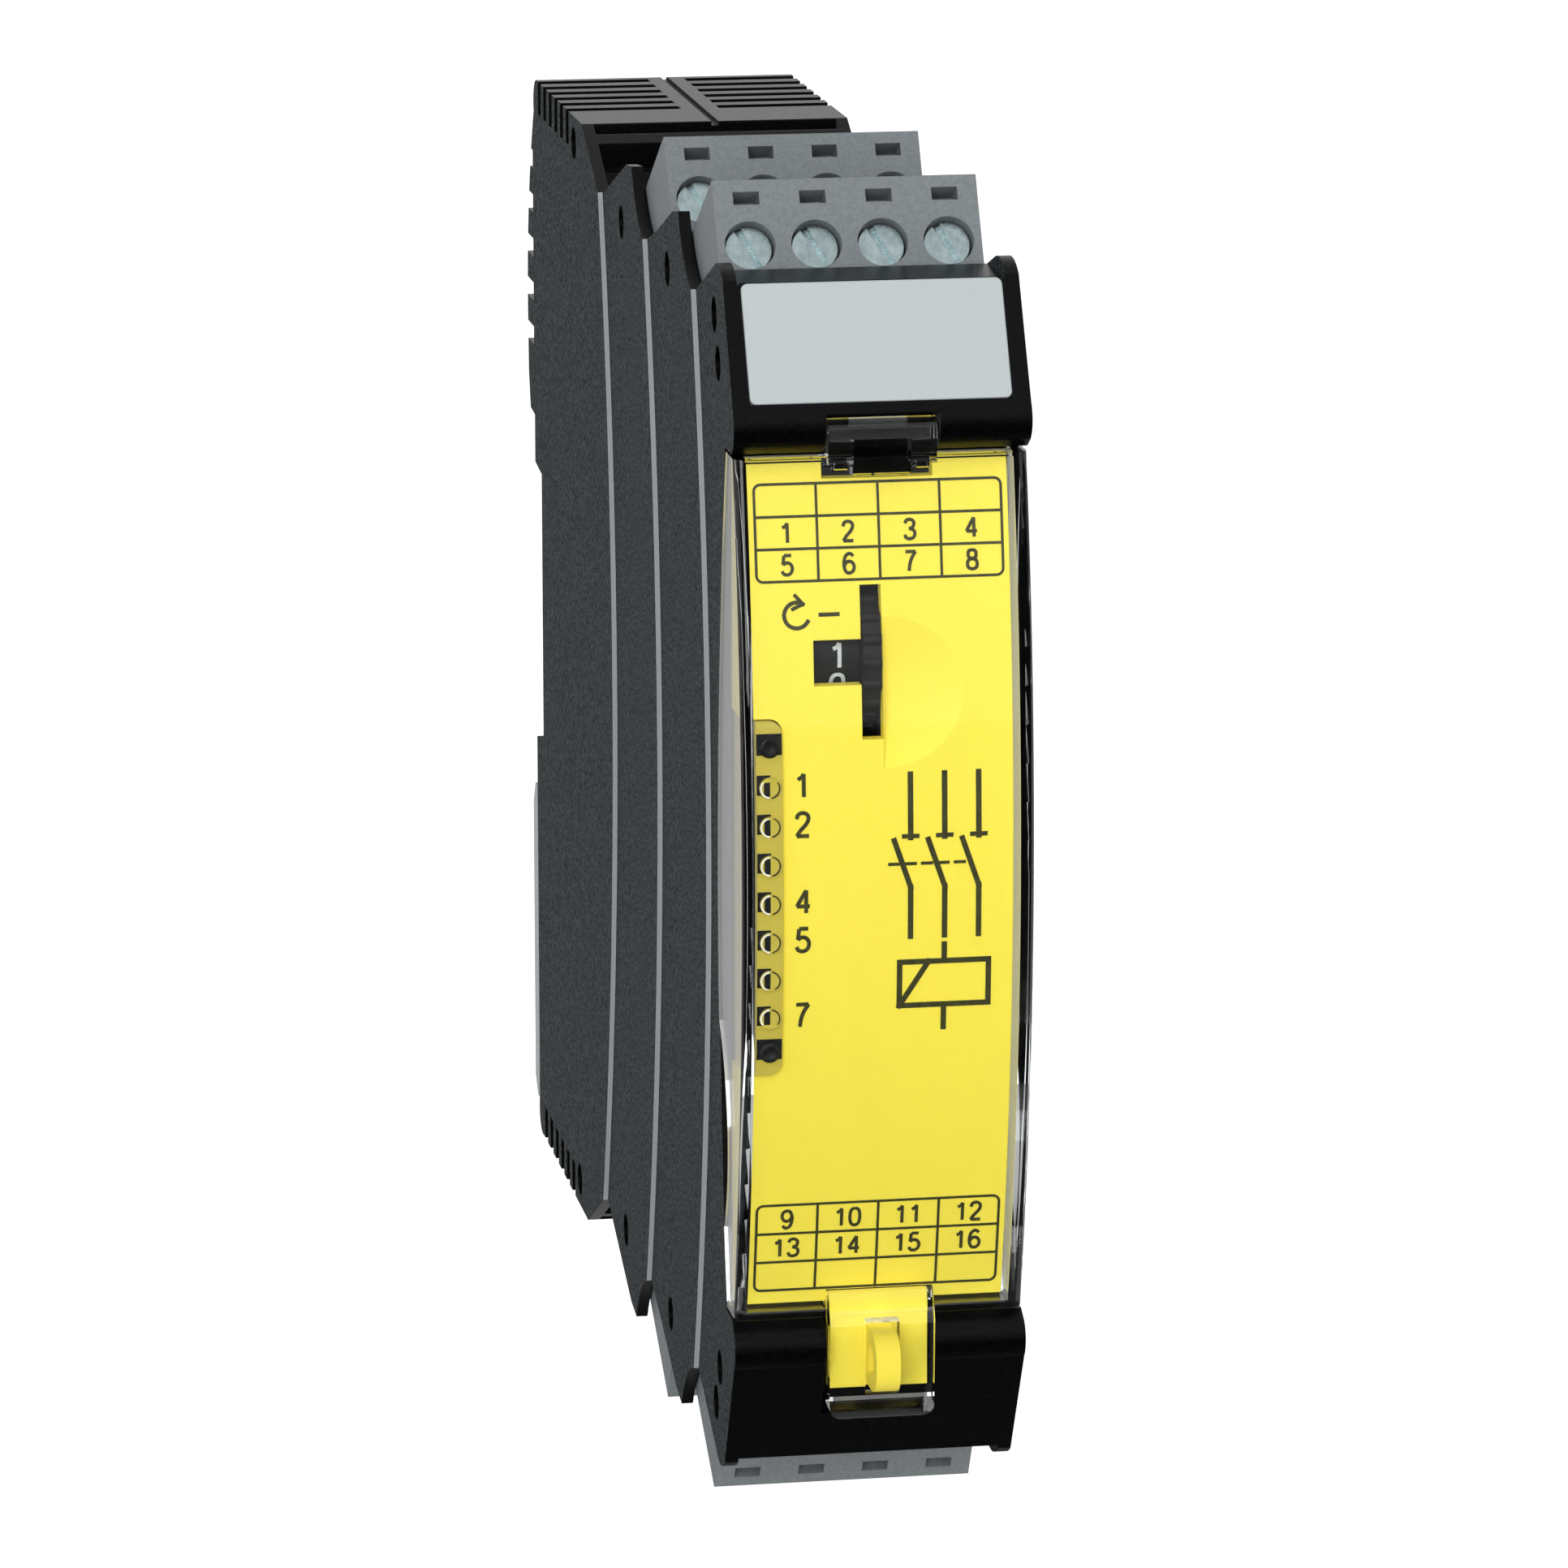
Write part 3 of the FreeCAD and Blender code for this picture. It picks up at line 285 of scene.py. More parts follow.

# %% [markdown]
# ## The shells
# The sides are spark-eroded: dark grey with a fine sparkle of lighter points. Their grey is partly painted
# light, lighter than the front as if lit from the side. Edges that face the front and the caps are polished
# in the mould and nearly black, partly as painted shade. Three narrow ledges run down each side, and the
# light they catch is painted on them as pale lines, with painted shade in the crease behind each. One
# material does it all from where a point lies and which way it faces, because both shells are single
# mouldings with no seam where the finish changes.

# %% Shell finish
# Side-facing faces are painted lighter than front-facing ones: partly the grained finish, partly painted
# light from the side.
SIDE_FACING = (0.80, 0.93)       # the normal's part across where the grain sets in, and where it is full
FRONT_FACING = -0.85
# Where the painted highlights on the ledges, and the painted shade in the creases behind them, lie.
LEDGES = (-46.3, -70.8, -95.4)   # the ledges and the creases behind them, in mm with the bow taken out
LEDGE_HIGHLIGHT_HALF = 0.06
# The painted shade in each crease: how far behind its ledge it lies, and half its width, in mm.
CREASE_SHADE_BACK, CREASE_SHADE_HALF = 0.19, 0.12
OUTSIDE_X, FINS_Z = 10.78, 45.5
POLISH = 0.3

shell = Finish("shell_plastic", specular=0.11)
place = shell.split(shell.position)
facing = shell.split(shell.tree.nodes.new("ShaderNodeNewGeometry").outputs["Normal"])
side_grain_and_light_mask = shell.ramp(shell.math("ABSOLUTE", facing["X"]), *SIDE_FACING)
squared = shell.math("MULTIPLY", place["Z"], place["Z"])
leg = shell.math("SQRT", shell.math("SUBTRACT", (BOW_RADIUS * MM) ** 2, squared))
straightened = shell.math("ADD", shell.math("SUBTRACT", place["Y"], BOW_RADIUS * MM), leg)


def bands(places, half):
    """1 within half a band of any of the places along the depth, and 0 elsewhere."""
    mask = None
    for at in places:
        near = shell.math("COMPARE", straightened, at * MM)
        near.node.inputs[2].default_value = half * MM
        mask = near if mask is None else shell.math("MAXIMUM", mask, near)
    return mask


front_facing = shell.math("LESS_THAN", facing["Y"], FRONT_FACING)
outside = shell.math("GREATER_THAN", shell.math("ABSOLUTE", place["X"]), OUTSIDE_X * MM)
below_fins = shell.math("LESS_THAN", shell.math("ABSOLUTE", place["Z"]), FINS_Z * MM)
ledge_highlight_mask = shell.math("MULTIPLY", shell.math("MULTIPLY", bands(LEDGES, LEDGE_HIGHLIGHT_HALF), front_facing),
                        shell.math("MULTIPLY", outside, below_fins))
crease_shade_mask = bands([ledge + CREASE_SHADE_BACK for ledge in LEDGES], CREASE_SHADE_HALF)
sides = shell.grain_and_tone(((20, 23, 25), (70, 77, 80), (44, 48, 50)), 3600.0, 4.6, 30.0,
                             (0.85, 0.6), 0.03, edge=0.16)
side_roughness = shell.shader.inputs["Roughness"].links[0].from_socket
above_polish = shell.math("MULTIPLY", side_grain_and_light_mask, shell.math("SUBTRACT", side_roughness, POLISH))
shell.link(shell.math("ADD", above_polish, POLISH), shell.shader.inputs["Roughness"])
crease_shade = shell.math("MULTIPLY", crease_shade_mask, side_grain_and_light_mask)
# Painted shade: a dark band in the crease behind each ledge, where a shadow gap would be.
sides = shell.mix(shell.math("MULTIPLY", crease_shade, 0.75), sides, linear(26, 28, 29))
dark_grain = shell.group(GRAIN, Grains_per_metre=3000.0, Contrast=2.6)
polished_front_with_shade = shell.mix(dark_grain["Points"], linear(0, 0, 1), linear(6, 7, 8))
# Painted light over the two real finishes: the sides are lighter as if lit from the side, and the
# front-facing faces near black as painted shade.
body_colour = shell.mix(side_grain_and_light_mask, polished_front_with_shade, sides)
# The pale lines on the ledges are a painted highlight: the light a front-facing ledge catches, painted into
# its colour.
shell.colour(shell.mix(ledge_highlight_mask, body_colour, linear(168, 172, 176)))
for name in ("housing_left", "housing_right"):
    wear(name, shell)
print("shells dressed")

# %% [markdown]
# ## Yellow plate
# A satin moulding in signal yellow. Its colour is strong and even, so only a slow tone and a very fine
# grain break it up.

# %% Yellow finish
yellow = Finish("signal_yellow", specular=0.2)
yellow.colour(yellow.grain_and_tone(((245, 225, 74), (250, 231, 84), (241, 219, 66)), 2500.0, 1.2, 60.0,
                                    (0.52, 0.46), 0.004, edge=0.12))
wear("front_plate", yellow)

# %% [markdown]
# ## Clear plastic
# The cover is clear, hard and polished, with true walls, so the shader is plain glass with the index of
# such plastic. Lamps do not reach through glass on their own in a path tracer, so for shadow rays alone the
# cover is let through with a Transparent shader. A faint haze and fine hairlines from handling keep it from
# looking like optical glass.

# %% Clear finish
def clear_finish(name, tint, rough, hair, clearness=1.0):
    """Clear plastic that lets lamps through, with hairline marks in its roughness. Less clearness is
    milkier."""
    finish = Finish(name, specular=0.5, Transmission_Weight=clearness, IOR=1.46)
    marks = finish.group(GRAIN, Grains_per_metre=900.0, Contrast=3.0)
    finish.roughness(marks["Points"], rough, rough + hair)
    tone = finish.group(TONE, Waves_per_metre=80.0)
    finish.colour(finish.mix(tone["Tone"], linear(*tint[0]), linear(*tint[1])))
    finish.bump(marks["Height"], 0.002)
    path = finish.tree.nodes.new("ShaderNodeLightPath")
    through = finish.tree.nodes.new("ShaderNodeBsdfTransparent")
    through.inputs["Color"].default_value = (1.0, 1.0, 1.0, 1.0) if clearness == 1.0 else linear(*tint[1])
    choice = finish.tree.nodes.new("ShaderNodeMixShader")
    output = finish.tree.nodes["Material Output"]
    finish.link(path.outputs["Is Shadow Ray"], choice.inputs[0])
    finish.link(finish.shader.outputs[0], choice.inputs[1])
    finish.link(through.outputs[0], choice.inputs[2])
    finish.link(choice.outputs[0], output.inputs["Surface"])
    return finish


cover_clear = clear_finish("cover_clear", ((246, 249, 250), (252, 254, 254)), 0.01, 0.03)
guide_clear = clear_finish("guide_clear", ((214, 196, 80), (228, 212, 96)), 0.15, 0.1, 0.35)
wear("clear_cover", cover_clear)
wear("light_guide", guide_clear)
print("clear pieces dressed")

# %% [markdown]
# ## Greys: plugs, marker and foot
# The plugs are mid grey with a fine matt grain, drawn out along their height. The marker is pale and
# smooth. The foot is a paler grey with more gloss, as it slides.

# %% Grey finishes
plug_grey = Finish("terminal_grey", specular=0.3)
plug_grey.colour(plug_grey.grain_and_tone(((116, 122, 125), (140, 146, 149), (110, 116, 119)), 3000.0, 1.8,
                                          90.0, (0.55, 0.45), 0.006, edge=0.1))
foot_grey = Finish("foot_grey", specular=0.3)
foot_grey.colour(foot_grey.grain_and_tone(((188, 191, 193), (204, 207, 208), (180, 183, 185)), 2600.0, 1.5,
                                          60.0, (0.5, 0.4), 0.006, edge=0.12))
marker_grey = Finish("marker_grey", specular=0.3)
marker_grey.colour(marker_grey.grain_and_tone(((187, 194, 196), (194, 201, 203), (182, 189, 191)), 2200.0,
                                              1.0, 70.0, (0.5, 0.42), 0.003))
for name in nodes:
    if name.startswith("plug_"):
        wear(name, plug_grey)
wear("foot_latch", foot_grey)

# %% [markdown]
# ## Metals
# The terminal screws and cages are zinc plated and passivated, a cool bright grey with a slight cloudiness.
# A screw is turned on a lathe, so rings run round its head, but at this size clouds and scratches show
# more. The spring is drawn wire, darker and smoother.

# %% Metal finishes
def metal_finish(name, dark, light, rough, waves):
    """Clouded metal: tone between two greys, and fine drawn scratches in roughness and bump."""
    finish = Finish(name, metallic=1.0)
    tone = finish.group(TONE, Waves_per_metre=waves)
    scratch = finish.group(GRAIN, Grains_per_metre=waves * 6.0, Contrast=2.5)
    finish.colour(finish.mix(tone["Tone"], linear(*dark), linear(*light)))
    finish.roughness(scratch["Points"], rough[0], rough[1])
    finish.bump(scratch["Height"], 0.01)
    return finish


zinc = metal_finish("zinc_plate", (96, 116, 120), (206, 222, 224), (0.16, 0.4), 900.0)
spring_wire = metal_finish("spring_wire", (130, 132, 134), (190, 192, 194), (0.25, 0.4), 700.0)
for name in nodes:
    if name.startswith(("screw_", "clamp_")):
        wear(name, zinc)
wear("foot_spring", spring_wire)
print("metals dressed")

# %% [markdown]
# ## Inside parts and the wheel
# The boards carry copper tracks under green lacquer, which a coarse wave pattern hints at. Relays have
# glossy black cases, the transformer has a copper winding on a sheet-steel core, and the capacitors wear a
# shrunk sleeve with bare aluminium ends.

# %% Inside finishes
board = Finish("board_lacquer", specular=0.4)
tracks = board.tree.nodes.new("ShaderNodeTexBrick")
board.link(board.position, tracks.inputs["Vector"])
tracks.inputs["Scale"].default_value = 180.0
tracks.inputs["Mortar Size"].default_value = 0.06
board_grain = board.group(GRAIN, Grains_per_metre=900.0, Contrast=1.6)
lacquer = board.mix(board_grain["Points"], linear(18, 84, 48), linear(30, 108, 62))
board.colour(board.mix(tracks.outputs["Fac"], lacquer, linear(52, 128, 74)))
board.roughness(board_grain["Points"], 0.28, 0.4)
board.bump(tracks.outputs["Fac"], 0.03)
for name in ("main_board", "front_board"):
    wear(name, board)

relay_case = Finish("relay_case", specular=0.4)
relay_case.colour(relay_case.grain_and_tone(((26, 27, 29), (40, 42, 44), (20, 21, 23)), 1800.0, 1.6, 50.0,
                                            (0.2, 0.3), 0.004, edge=0.2))
black_moulding = Finish("black_moulding", specular=0.2)
black_moulding.colour(black_moulding.grain_and_tone(((12, 13, 13), (30, 31, 32), (9, 9, 10)), 3200.0, 2.0,
                                                    80.0, (0.5, 0.38), 0.008, edge=0.1))

WINDING_Y, WINDING_Z = -50.0, -18.0   # axis of the winding
WINDING_EDGE = (6.28, 6.35)          # from copper to core, out from the axis
coil = Finish("wound_core", specular=0.5)
coil_place = coil.split(coil.position)
turns = coil.tree.nodes.new("ShaderNodeTexWave")
turns.bands_direction = "X"
turns.inputs["Scale"].default_value = 1400.0
coil.link(coil.position, turns.inputs["Vector"])
round_y = coil.math("SUBTRACT", coil_place["Y"], WINDING_Y * MM)
round_z = coil.math("SUBTRACT", coil_place["Z"], WINDING_Z * MM)
from_axis = coil.math("SQRT", coil.math("ADD", coil.math("MULTIPLY", round_y, round_y),
                                        coil.math("MULTIPLY", round_z, round_z)))
copper = coil.mix(turns.outputs["Fac"], linear(120, 62, 30), linear(196, 112, 62))
on_core = coil.ramp(from_axis, WINDING_EDGE[0] * MM, WINDING_EDGE[1] * MM)
coil.colour(coil.mix(on_core, copper, linear(84, 86, 90)))
coil.bump(turns.outputs["Fac"], 0.05)
wear("transformer", coil)

CAN_END = (7.3, 7.35)            # from sleeve to bare end, along x
can = Finish("shrunk_sleeve", specular=0.5)
can_place = can.split(can.position)
can_grain = can.group(GRAIN, Grains_per_metre=1500.0, Contrast=1.5)
sleeve = can.mix(can_grain["Points"], linear(24, 40, 78), linear(36, 54, 96))
bare = can.ramp(can_place["X"], CAN_END[0] * MM, CAN_END[1] * MM)
can.colour(can.mix(bare, sleeve, linear(196, 199, 202)))
can.link(bare, can.shader.inputs["Metallic"])
can.roughness(can_grain["Points"], 0.25, 0.38)
wear("capacitors", can)

for name in ("relay_1", "relay_2", "relay_3"):
    wear(name, relay_case)
for name in ["mode_wheel", "mode_switch", "board_link"] + [n for n in nodes if n.startswith("header_")]:
    wear(name, black_moulding)

light_resin = Finish("light_resin", specular=0.5)
light_resin.colour(light_resin.grain_and_tone(((236, 234, 216), (250, 248, 234), (226, 222, 200)), 1200.0,
                                              1.2, 200.0, (0.2, 0.3), 0.003))
wear("indicator_leds", light_resin)
print("inside dressed")

# %% [markdown]
# ## Print as drawn strokes
# The print on the plate is ink, a film a few hundredths of a millimetre thick. Each mark is a stroke: a
# ribbon of fixed width carried along a path. Paths are worked out flat, in millimetres across and up, and
# one function then lays every point on the bowed plate or round the drum. Ribbons keep the same stroke
# width everywhere, which a pen plotter or a pad print has too.

# %% Stroke tools
INK = 0.03      # thickness of the film, mm


def smooth(points, per_span=10):
    """A path through the points: each span is the cubic whose slopes at its ends are half the step between
    the neighbours on both sides."""
    p = np.array(points, float)
    p = np.vstack([2 * p[0] - p[1], p, 2 * p[-1] - p[-2]])
    t = np.linspace(0, 1, per_span, endpoint=False)[:, None]
    spans = []
    for a, b, c, d in zip(p[:-3], p[1:-2], p[2:-1], p[3:]):
        spans.append(0.5 * (2 * b + (c - a) * t + (2 * a - 5 * b + 4 * c - d) * t ** 2
                            + (3 * b - a - 3 * c + d) * t ** 3))
    return np.vstack(spans + [p[-2:-1]])


def line(a, b, step=0.6):
    """Points along a straight run, no further apart than step."""
    count = max(2, int(np.ceil(np.linalg.norm(np.subtract(b, a)) / step)) + 1)
    t = np.linspace(0, 1, count)[:, None]
    return np.array(a, float) * (1 - t) + np.array(b, float) * t


def arc(centre, radius, start, end, count=24):
    """Points on a circle between two angles in degrees."""
    a = np.radians(np.linspace(start, end, count))
    return np.array(centre) + radius * np.stack([np.cos(a), np.sin(a)], 1)


def ribbon(path, width, square=True):
    """Two rows of points half a width to each side of a path, across its direction at each point. A square
    end reaches on by half a width."""
    path = np.array(path, float)
    along = np.gradient(path, axis=0)
    along /= np.linalg.norm(along, axis=1)[:, None]
    if square:
        path[0] -= along[0] * width / 2
        path[-1] += along[-1] * width / 2
    across = np.stack([-along[:, 1], along[:, 0]], 1) * width / 2
    return np.stack([path - across, path + across])


def strip_faces(rows, columns):
    """Quads of a grid of so many rows by columns, numbered along the rows."""
    k = np.arange(rows * columns).reshape(rows, columns)
    return np.stack([k[:-1, :-1], k[:-1, 1:], k[1:, 1:], k[1:, :-1]], -1).reshape(-1, 4)


def fill_mesh(name, points, faces, finish, body, smooth_shaded=True):
    """A mesh from points in millimetres and faces, worn and riding on a body."""
    mesh = bpy.data.meshes.new(name)
    mesh.from_pydata((np.asarray(points) * MM).tolist(), [], [list(map(int, f)) for f in faces])
    mesh.validate()
    mesh.polygons.foreach_set("use_smooth", [smooth_shaded] * len(mesh.polygons))
    mesh.materials.append(finish.material)
    piece = bpy.data.objects.new(name, mesh)
    bpy.context.scene.collection.objects.link(piece)
    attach(piece, body)
    return piece


def print_strokes(name, strokes, lay, finish, body):
    """All strokes of a print as one closed film: an upper and a lower sheet, and walls between them. A stroke
    is a pair of rows of flat points, and lay(across, up, lift) puts them on the surface."""
    points, faces, first = [], [], 0
    for left, right in strokes:
        count = len(left)
        upper = np.stack([lay(r[:, 0], r[:, 1], INK) for r in (left, right)])
        lower = np.stack([lay(r[:, 0], r[:, 1], -INK) for r in (left, right)])
        ring = np.concatenate([upper, lower[::-1]])
        quads = strip_faces(4, count)
        closing = strip_faces(2, count)
        closing = np.where(closing >= count, closing - count, closing + 3 * count)
        ends = np.array([[0, count, 2 * count, 3 * count],
                         [4 * count - 1, 3 * count - 1, 2 * count - 1, count - 1]])
        points.append(ring.reshape(-1, 3))
        faces.append(np.concatenate([quads, closing, ends]) + first)
        first += 4 * count
    return fill_mesh(name, np.concatenate(points), np.concatenate(faces), finish, body, False)


def on_plate(across, up, lift):
    """Across is x, up is z, and y follows the bow, lifted towards the front."""
    return np.stack([across, PLATE_FRONT + bow(up) - lift, up], -1)


def on_drum(across, up, lift):
    """Across is x, and up is wound round the drum: its angle is the length over the radius."""
    a = up / DRUM_RADIUS
    r = DRUM_RADIUS + lift
    return np.stack([across, WHEEL_Y - r * np.cos(a), WHEEL_Z + r * np.sin(a)], -1)


print("stroke tools ready")

# %% [markdown]
# ## Plain numbers
# The tables and the wheel carry plain numbers. A numeral is a few paths in a cell one unit high, drawn as a
# draughtsman would: straight runs, and smooth runs through a handful of points. That is enough for ten
# numerals, and keeps them free of any typeface.

# %% Numerals
def numeral(digit):
    """Paths of one numeral in a cell 0.6 wide and 1 high."""
    six = smooth([(0.53, 0.86), (0.43, 0.97), (0.30, 1.0), (0.13, 0.88), (0.04, 0.6), (0.04, 0.3),
                  (0.14, 0.06), (0.31, 0.0), (0.50, 0.09), (0.57, 0.31), (0.49, 0.52), (0.31, 0.6),
                  (0.14, 0.53), (0.05, 0.36)])
    shapes = {
        "0": [smooth([(0.30, 1.0), (0.10, 0.88), (0.03, 0.5), (0.10, 0.12), (0.30, 0.0), (0.50, 0.12),
                      (0.57, 0.5), (0.50, 0.88), (0.30, 1.0)])],
        "1": [line((0.36, 0.0), (0.36, 1.0)), smooth([(0.36, 1.0), (0.27, 0.86), (0.10, 0.76)])],
        "2": [smooth([(0.04, 0.74), (0.11, 0.93), (0.30, 1.0), (0.50, 0.92), (0.55, 0.73), (0.44, 0.50),
                      (0.20, 0.24), (0.04, 0.0)]), line((0.04, 0.0), (0.57, 0.0))],
        "3": [smooth([(0.05, 0.80), (0.13, 0.95), (0.30, 1.0), (0.49, 0.92), (0.53, 0.75), (0.44, 0.58),
                      (0.26, 0.53)]),
              smooth([(0.26, 0.53), (0.48, 0.46), (0.57, 0.28), (0.50, 0.08), (0.30, 0.0), (0.10, 0.06),
                      (0.03, 0.22)])],
        "4": [line((0.44, 0.0), (0.44, 1.0)), line((0.44, 1.0), (0.03, 0.30)),
              line((0.03, 0.30), (0.60, 0.30))],
        "5": [line((0.53, 1.0), (0.14, 1.0)), line((0.14, 1.0), (0.08, 0.52)),
              smooth([(0.08, 0.52), (0.27, 0.62), (0.48, 0.55), (0.57, 0.32), (0.48, 0.08), (0.28, 0.0),
                      (0.10, 0.06), (0.03, 0.2)])],
        "6": [six],
        "7": [line((0.03, 1.0), (0.57, 1.0)), smooth([(0.57, 1.0), (0.38, 0.70), (0.26, 0.38), (0.2, 0.0)])],
        "8": [smooth([(0.30, 1.0), (0.11, 0.91), (0.11, 0.63), (0.30, 0.54), (0.49, 0.63), (0.49, 0.91),
                      (0.30, 1.0)]),
              smooth([(0.30, 0.54), (0.07, 0.42), (0.07, 0.11), (0.30, 0.0), (0.53, 0.11), (0.53, 0.42),
                      (0.30, 0.54)])],
        "9": [np.array([0.6, 1.0]) - six],
    }
    return shapes[digit]


def number(text, centre, height, width, pitch=0.78):
    """Strokes of a whole number about a centre, its numerals spaced by a share of the height."""
    start = centre[0] - (pitch * (len(text) - 1) + 0.6) * height / 2
    strokes = []
    for k, digit in enumerate(text):
        corner = np.array([start + k * pitch * height, centre[1] - height / 2])
        strokes += [ribbon(corner + path * height, width, False) for path in numeral(digit)]
    return strokes


ink = Finish("plate_ink", specular=0.2)
ink.colour(ink.grain_and_tone(((44, 43, 24), (72, 70, 34), (36, 35, 20)), 5200.0, 3.0, 300.0,
                              (0.6, 0.5), 0.002))
print("numerals:", sum(len(numeral(d)) for d in "0123456789"), "paths")

# %% [markdown]
# ## Tables on the plate
# Above and below, a table of four columns names the terminals of each plug, with one blank row for the
# fitter's pencil. The frame has rounded corners, and the cells hold the plain numbers 1 to 16.

# %% Tables
TABLE_HALF = 9.35
UPPER_TABLE, UPPER_ROWS = (23.8, 30.9), (27.35, 25.0)
LOWER_TABLE, LOWER_ROWS = (-31.4, -24.3), (-25.5, -27.85)
LINE_WIDTH = 0.2
CORNER = 0.5
NUMERAL_HEIGHT, NUMERAL_WIDTH = 1.42, 0.25


def table_frame(low, high):
    """Rounded outer frame, three upright rules and two level rules."""
    x, r = TABLE_HALF, CORNER
    runs = [line((-x + r, high), (x - r, high)), line((-x + r, low), (x - r, low)),
            line((-x, low + r), (-x, high - r)), line((x, low + r), (x, high - r)),
            arc((x - r, high - r), r, 0, 90, 9), arc((-x + r, high - r), r, 90, 180, 9),
            arc((-x + r, low + r), r, 180, 270, 9), arc((x - r, low + r), r, 270, 360, 9)]
    runs += [line((v, low), (v, high)) for v in (-x / 2, 0.0, x / 2)]
    runs += [line((-x, low + (high - low) * s), (x, low + (high - low) * s)) for s in (1 / 3, 2 / 3)]
    return [ribbon(run, LINE_WIDTH, False) for run in runs]


def table_numbers(rows, first):
    """Four numbers in each of the rows, counting on from first."""
    strokes = []
    for k, z in enumerate(rows):
        for c in range(4):
            x = TABLE_HALF * (c - 1.5) / 2
            strokes += number(str(first + 4 * k + c), (x, z), NUMERAL_HEIGHT, NUMERAL_WIDTH)
    return strokes


tables = table_frame(*UPPER_TABLE) + table_frame(*LOWER_TABLE)
tables += table_numbers(UPPER_ROWS, 1) + table_numbers(LOWER_ROWS, 9)
plate_tables = print_strokes("plate_tables", tables, on_plate, ink, "housing")
print("plate_tables:", len(plate_tables.data.polygons), "faces")

# %% [markdown]
# ## Marks beside the wheel and the lights
# Beside the wheel a turning arrow says that it is turned. Five of the seven lights have a number. On the
# free field to the right a contact diagram shows what the relay does: three contacts and a coil, tied by a
# dashed line. It is drawn with wider strokes, as a sign to be read from a step away.

# %% Marks
TURN_CENTRE, TURN_RADIUS, RULE_X = (-6.4, 21.3), 0.95, (-4.6, -3.3)
ARROW_WIDTH, BARB_WIDTH = 0.3, 0.28
BARBS = ((-0.55, 0.62), (-0.75, -0.35))          # from the tip of the arrow
NUMBERED_LIGHTS = (0, 1, 3, 4, 6)
LIGHT_NUMBER_X, LIGHT_NUMBER_HEIGHT, LIGHT_NUMBER_WIDTH = -6.2, 1.75, 0.3
CONTACT_X = (2.0, 4.6, 7.2)
CONTACT_TOP, FIXED_END, SWUNG_END, PIVOT, CONTACT_LOW = 9.2, 4.4, 4.2, 0.6, -3.2
SWING = 1.25
CROSS_Z, CROSS_HALF, CROSS_WIDTH = 4.5, 0.5, 0.34
TIE_Z, TIE_X, DASH, DASH_PITCH, DASH_WIDTH = 2.4, (0.4, 6.4), 0.7, 1.25, 0.24
COIL_LEFT, COIL_RIGHT, COIL_LOW, COIL_HIGH = 1.2, 8.0, -8.6, -5.2
SLASH_X, LEAD_LOW, LEAD_HIGH = 3.4, -10.4, -3.9
SIGN_WIDTH = 0.42


def strokes_between(ends, width):
    """A straight stroke for each pair of ends."""
    return [ribbon(line(a, b), width) for a, b in ends]


marks = [ribbon(arc(TURN_CENTRE, TURN_RADIUS, 60, 330, 40), ARROW_WIDTH)]
tip = arc(TURN_CENTRE, TURN_RADIUS, 60, 60, 1)[0]
marks += strokes_between([(tip + barb, tip) for barb in BARBS], BARB_WIDTH)
marks += strokes_between([[(x, TURN_CENTRE[1]) for x in RULE_X]], ARROW_WIDTH)
for k in NUMBERED_LIGHTS:
    marks += number(str(k + 1), (LIGHT_NUMBER_X, LIGHT_Z[k]), LIGHT_NUMBER_HEIGHT, LIGHT_NUMBER_WIDTH)
for x in CONTACT_X:
    marks += strokes_between([((x, CONTACT_TOP), (x, FIXED_END)), ((x, CONTACT_LOW), (x, PIVOT)),
                              ((x, PIVOT), (x - SWING, SWUNG_END))], SIGN_WIDTH)
    marks += strokes_between([((x - CROSS_HALF, CROSS_Z), (x + CROSS_HALF, CROSS_Z))], CROSS_WIDTH)
dashes = np.arange(*TIE_X, DASH_PITCH)
marks += strokes_between([((x, TIE_Z), (x + DASH, TIE_Z)) for x in dashes], DASH_WIDTH)
corners = [(COIL_LEFT, COIL_LOW), (COIL_RIGHT, COIL_LOW), (COIL_RIGHT, COIL_HIGH), (COIL_LEFT, COIL_HIGH)]
marks += strokes_between(list(zip(corners, corners[1:] + corners[:1])), SIGN_WIDTH)
lead_x = CONTACT_X[1]
marks += strokes_between([(corners[0], (SLASH_X, COIL_HIGH)), ((lead_x, COIL_LOW), (lead_x, LEAD_LOW)),
                          ((lead_x, COIL_HIGH), (lead_x, LEAD_HIGH))], SIGN_WIDTH)
plate_marks = print_strokes("plate_marks", marks, on_plate, ink, "housing")
print("plate_marks:", len(plate_marks.data.polygons), "faces")

# %% [markdown]
# ## Numbers round the wheel
# Ten numbers are printed white round the drum, and the plate's window shows one and the top of the one
# below. They ride on the wheel, so that they turn with it. The same strokes are used, only laid round the
# drum.

# %% Wheel numbers
white_ink = Finish("white_ink", specular=0.3)
white_ink.colour(white_ink.grain_and_tone(((196, 202, 202), (224, 230, 230), (180, 186, 186)), 3000.0, 1.6,
                                          200.0, (0.5, 0.4), 0.002))
DRUM_NUMBER_X, DRUM_SHIFT = -3.1, 0.3
DRUM_NUMBER_HEIGHT, DRUM_NUMBER_WIDTH = 1.85, 0.3
pitch = 2 * math.pi * DRUM_RADIUS / 10
drum_strokes = []
for k in range(10):
    middle = (DRUM_NUMBER_X, DRUM_SHIFT + pitch * (k - 1))
    drum_strokes += number(str(k), middle, DRUM_NUMBER_HEIGHT, DRUM_NUMBER_WIDTH)
drum_numbers = print_strokes("drum_numbers", drum_strokes, on_drum, white_ink, "wheel")
print("drum_numbers:", len(drum_numbers.data.polygons), "faces")

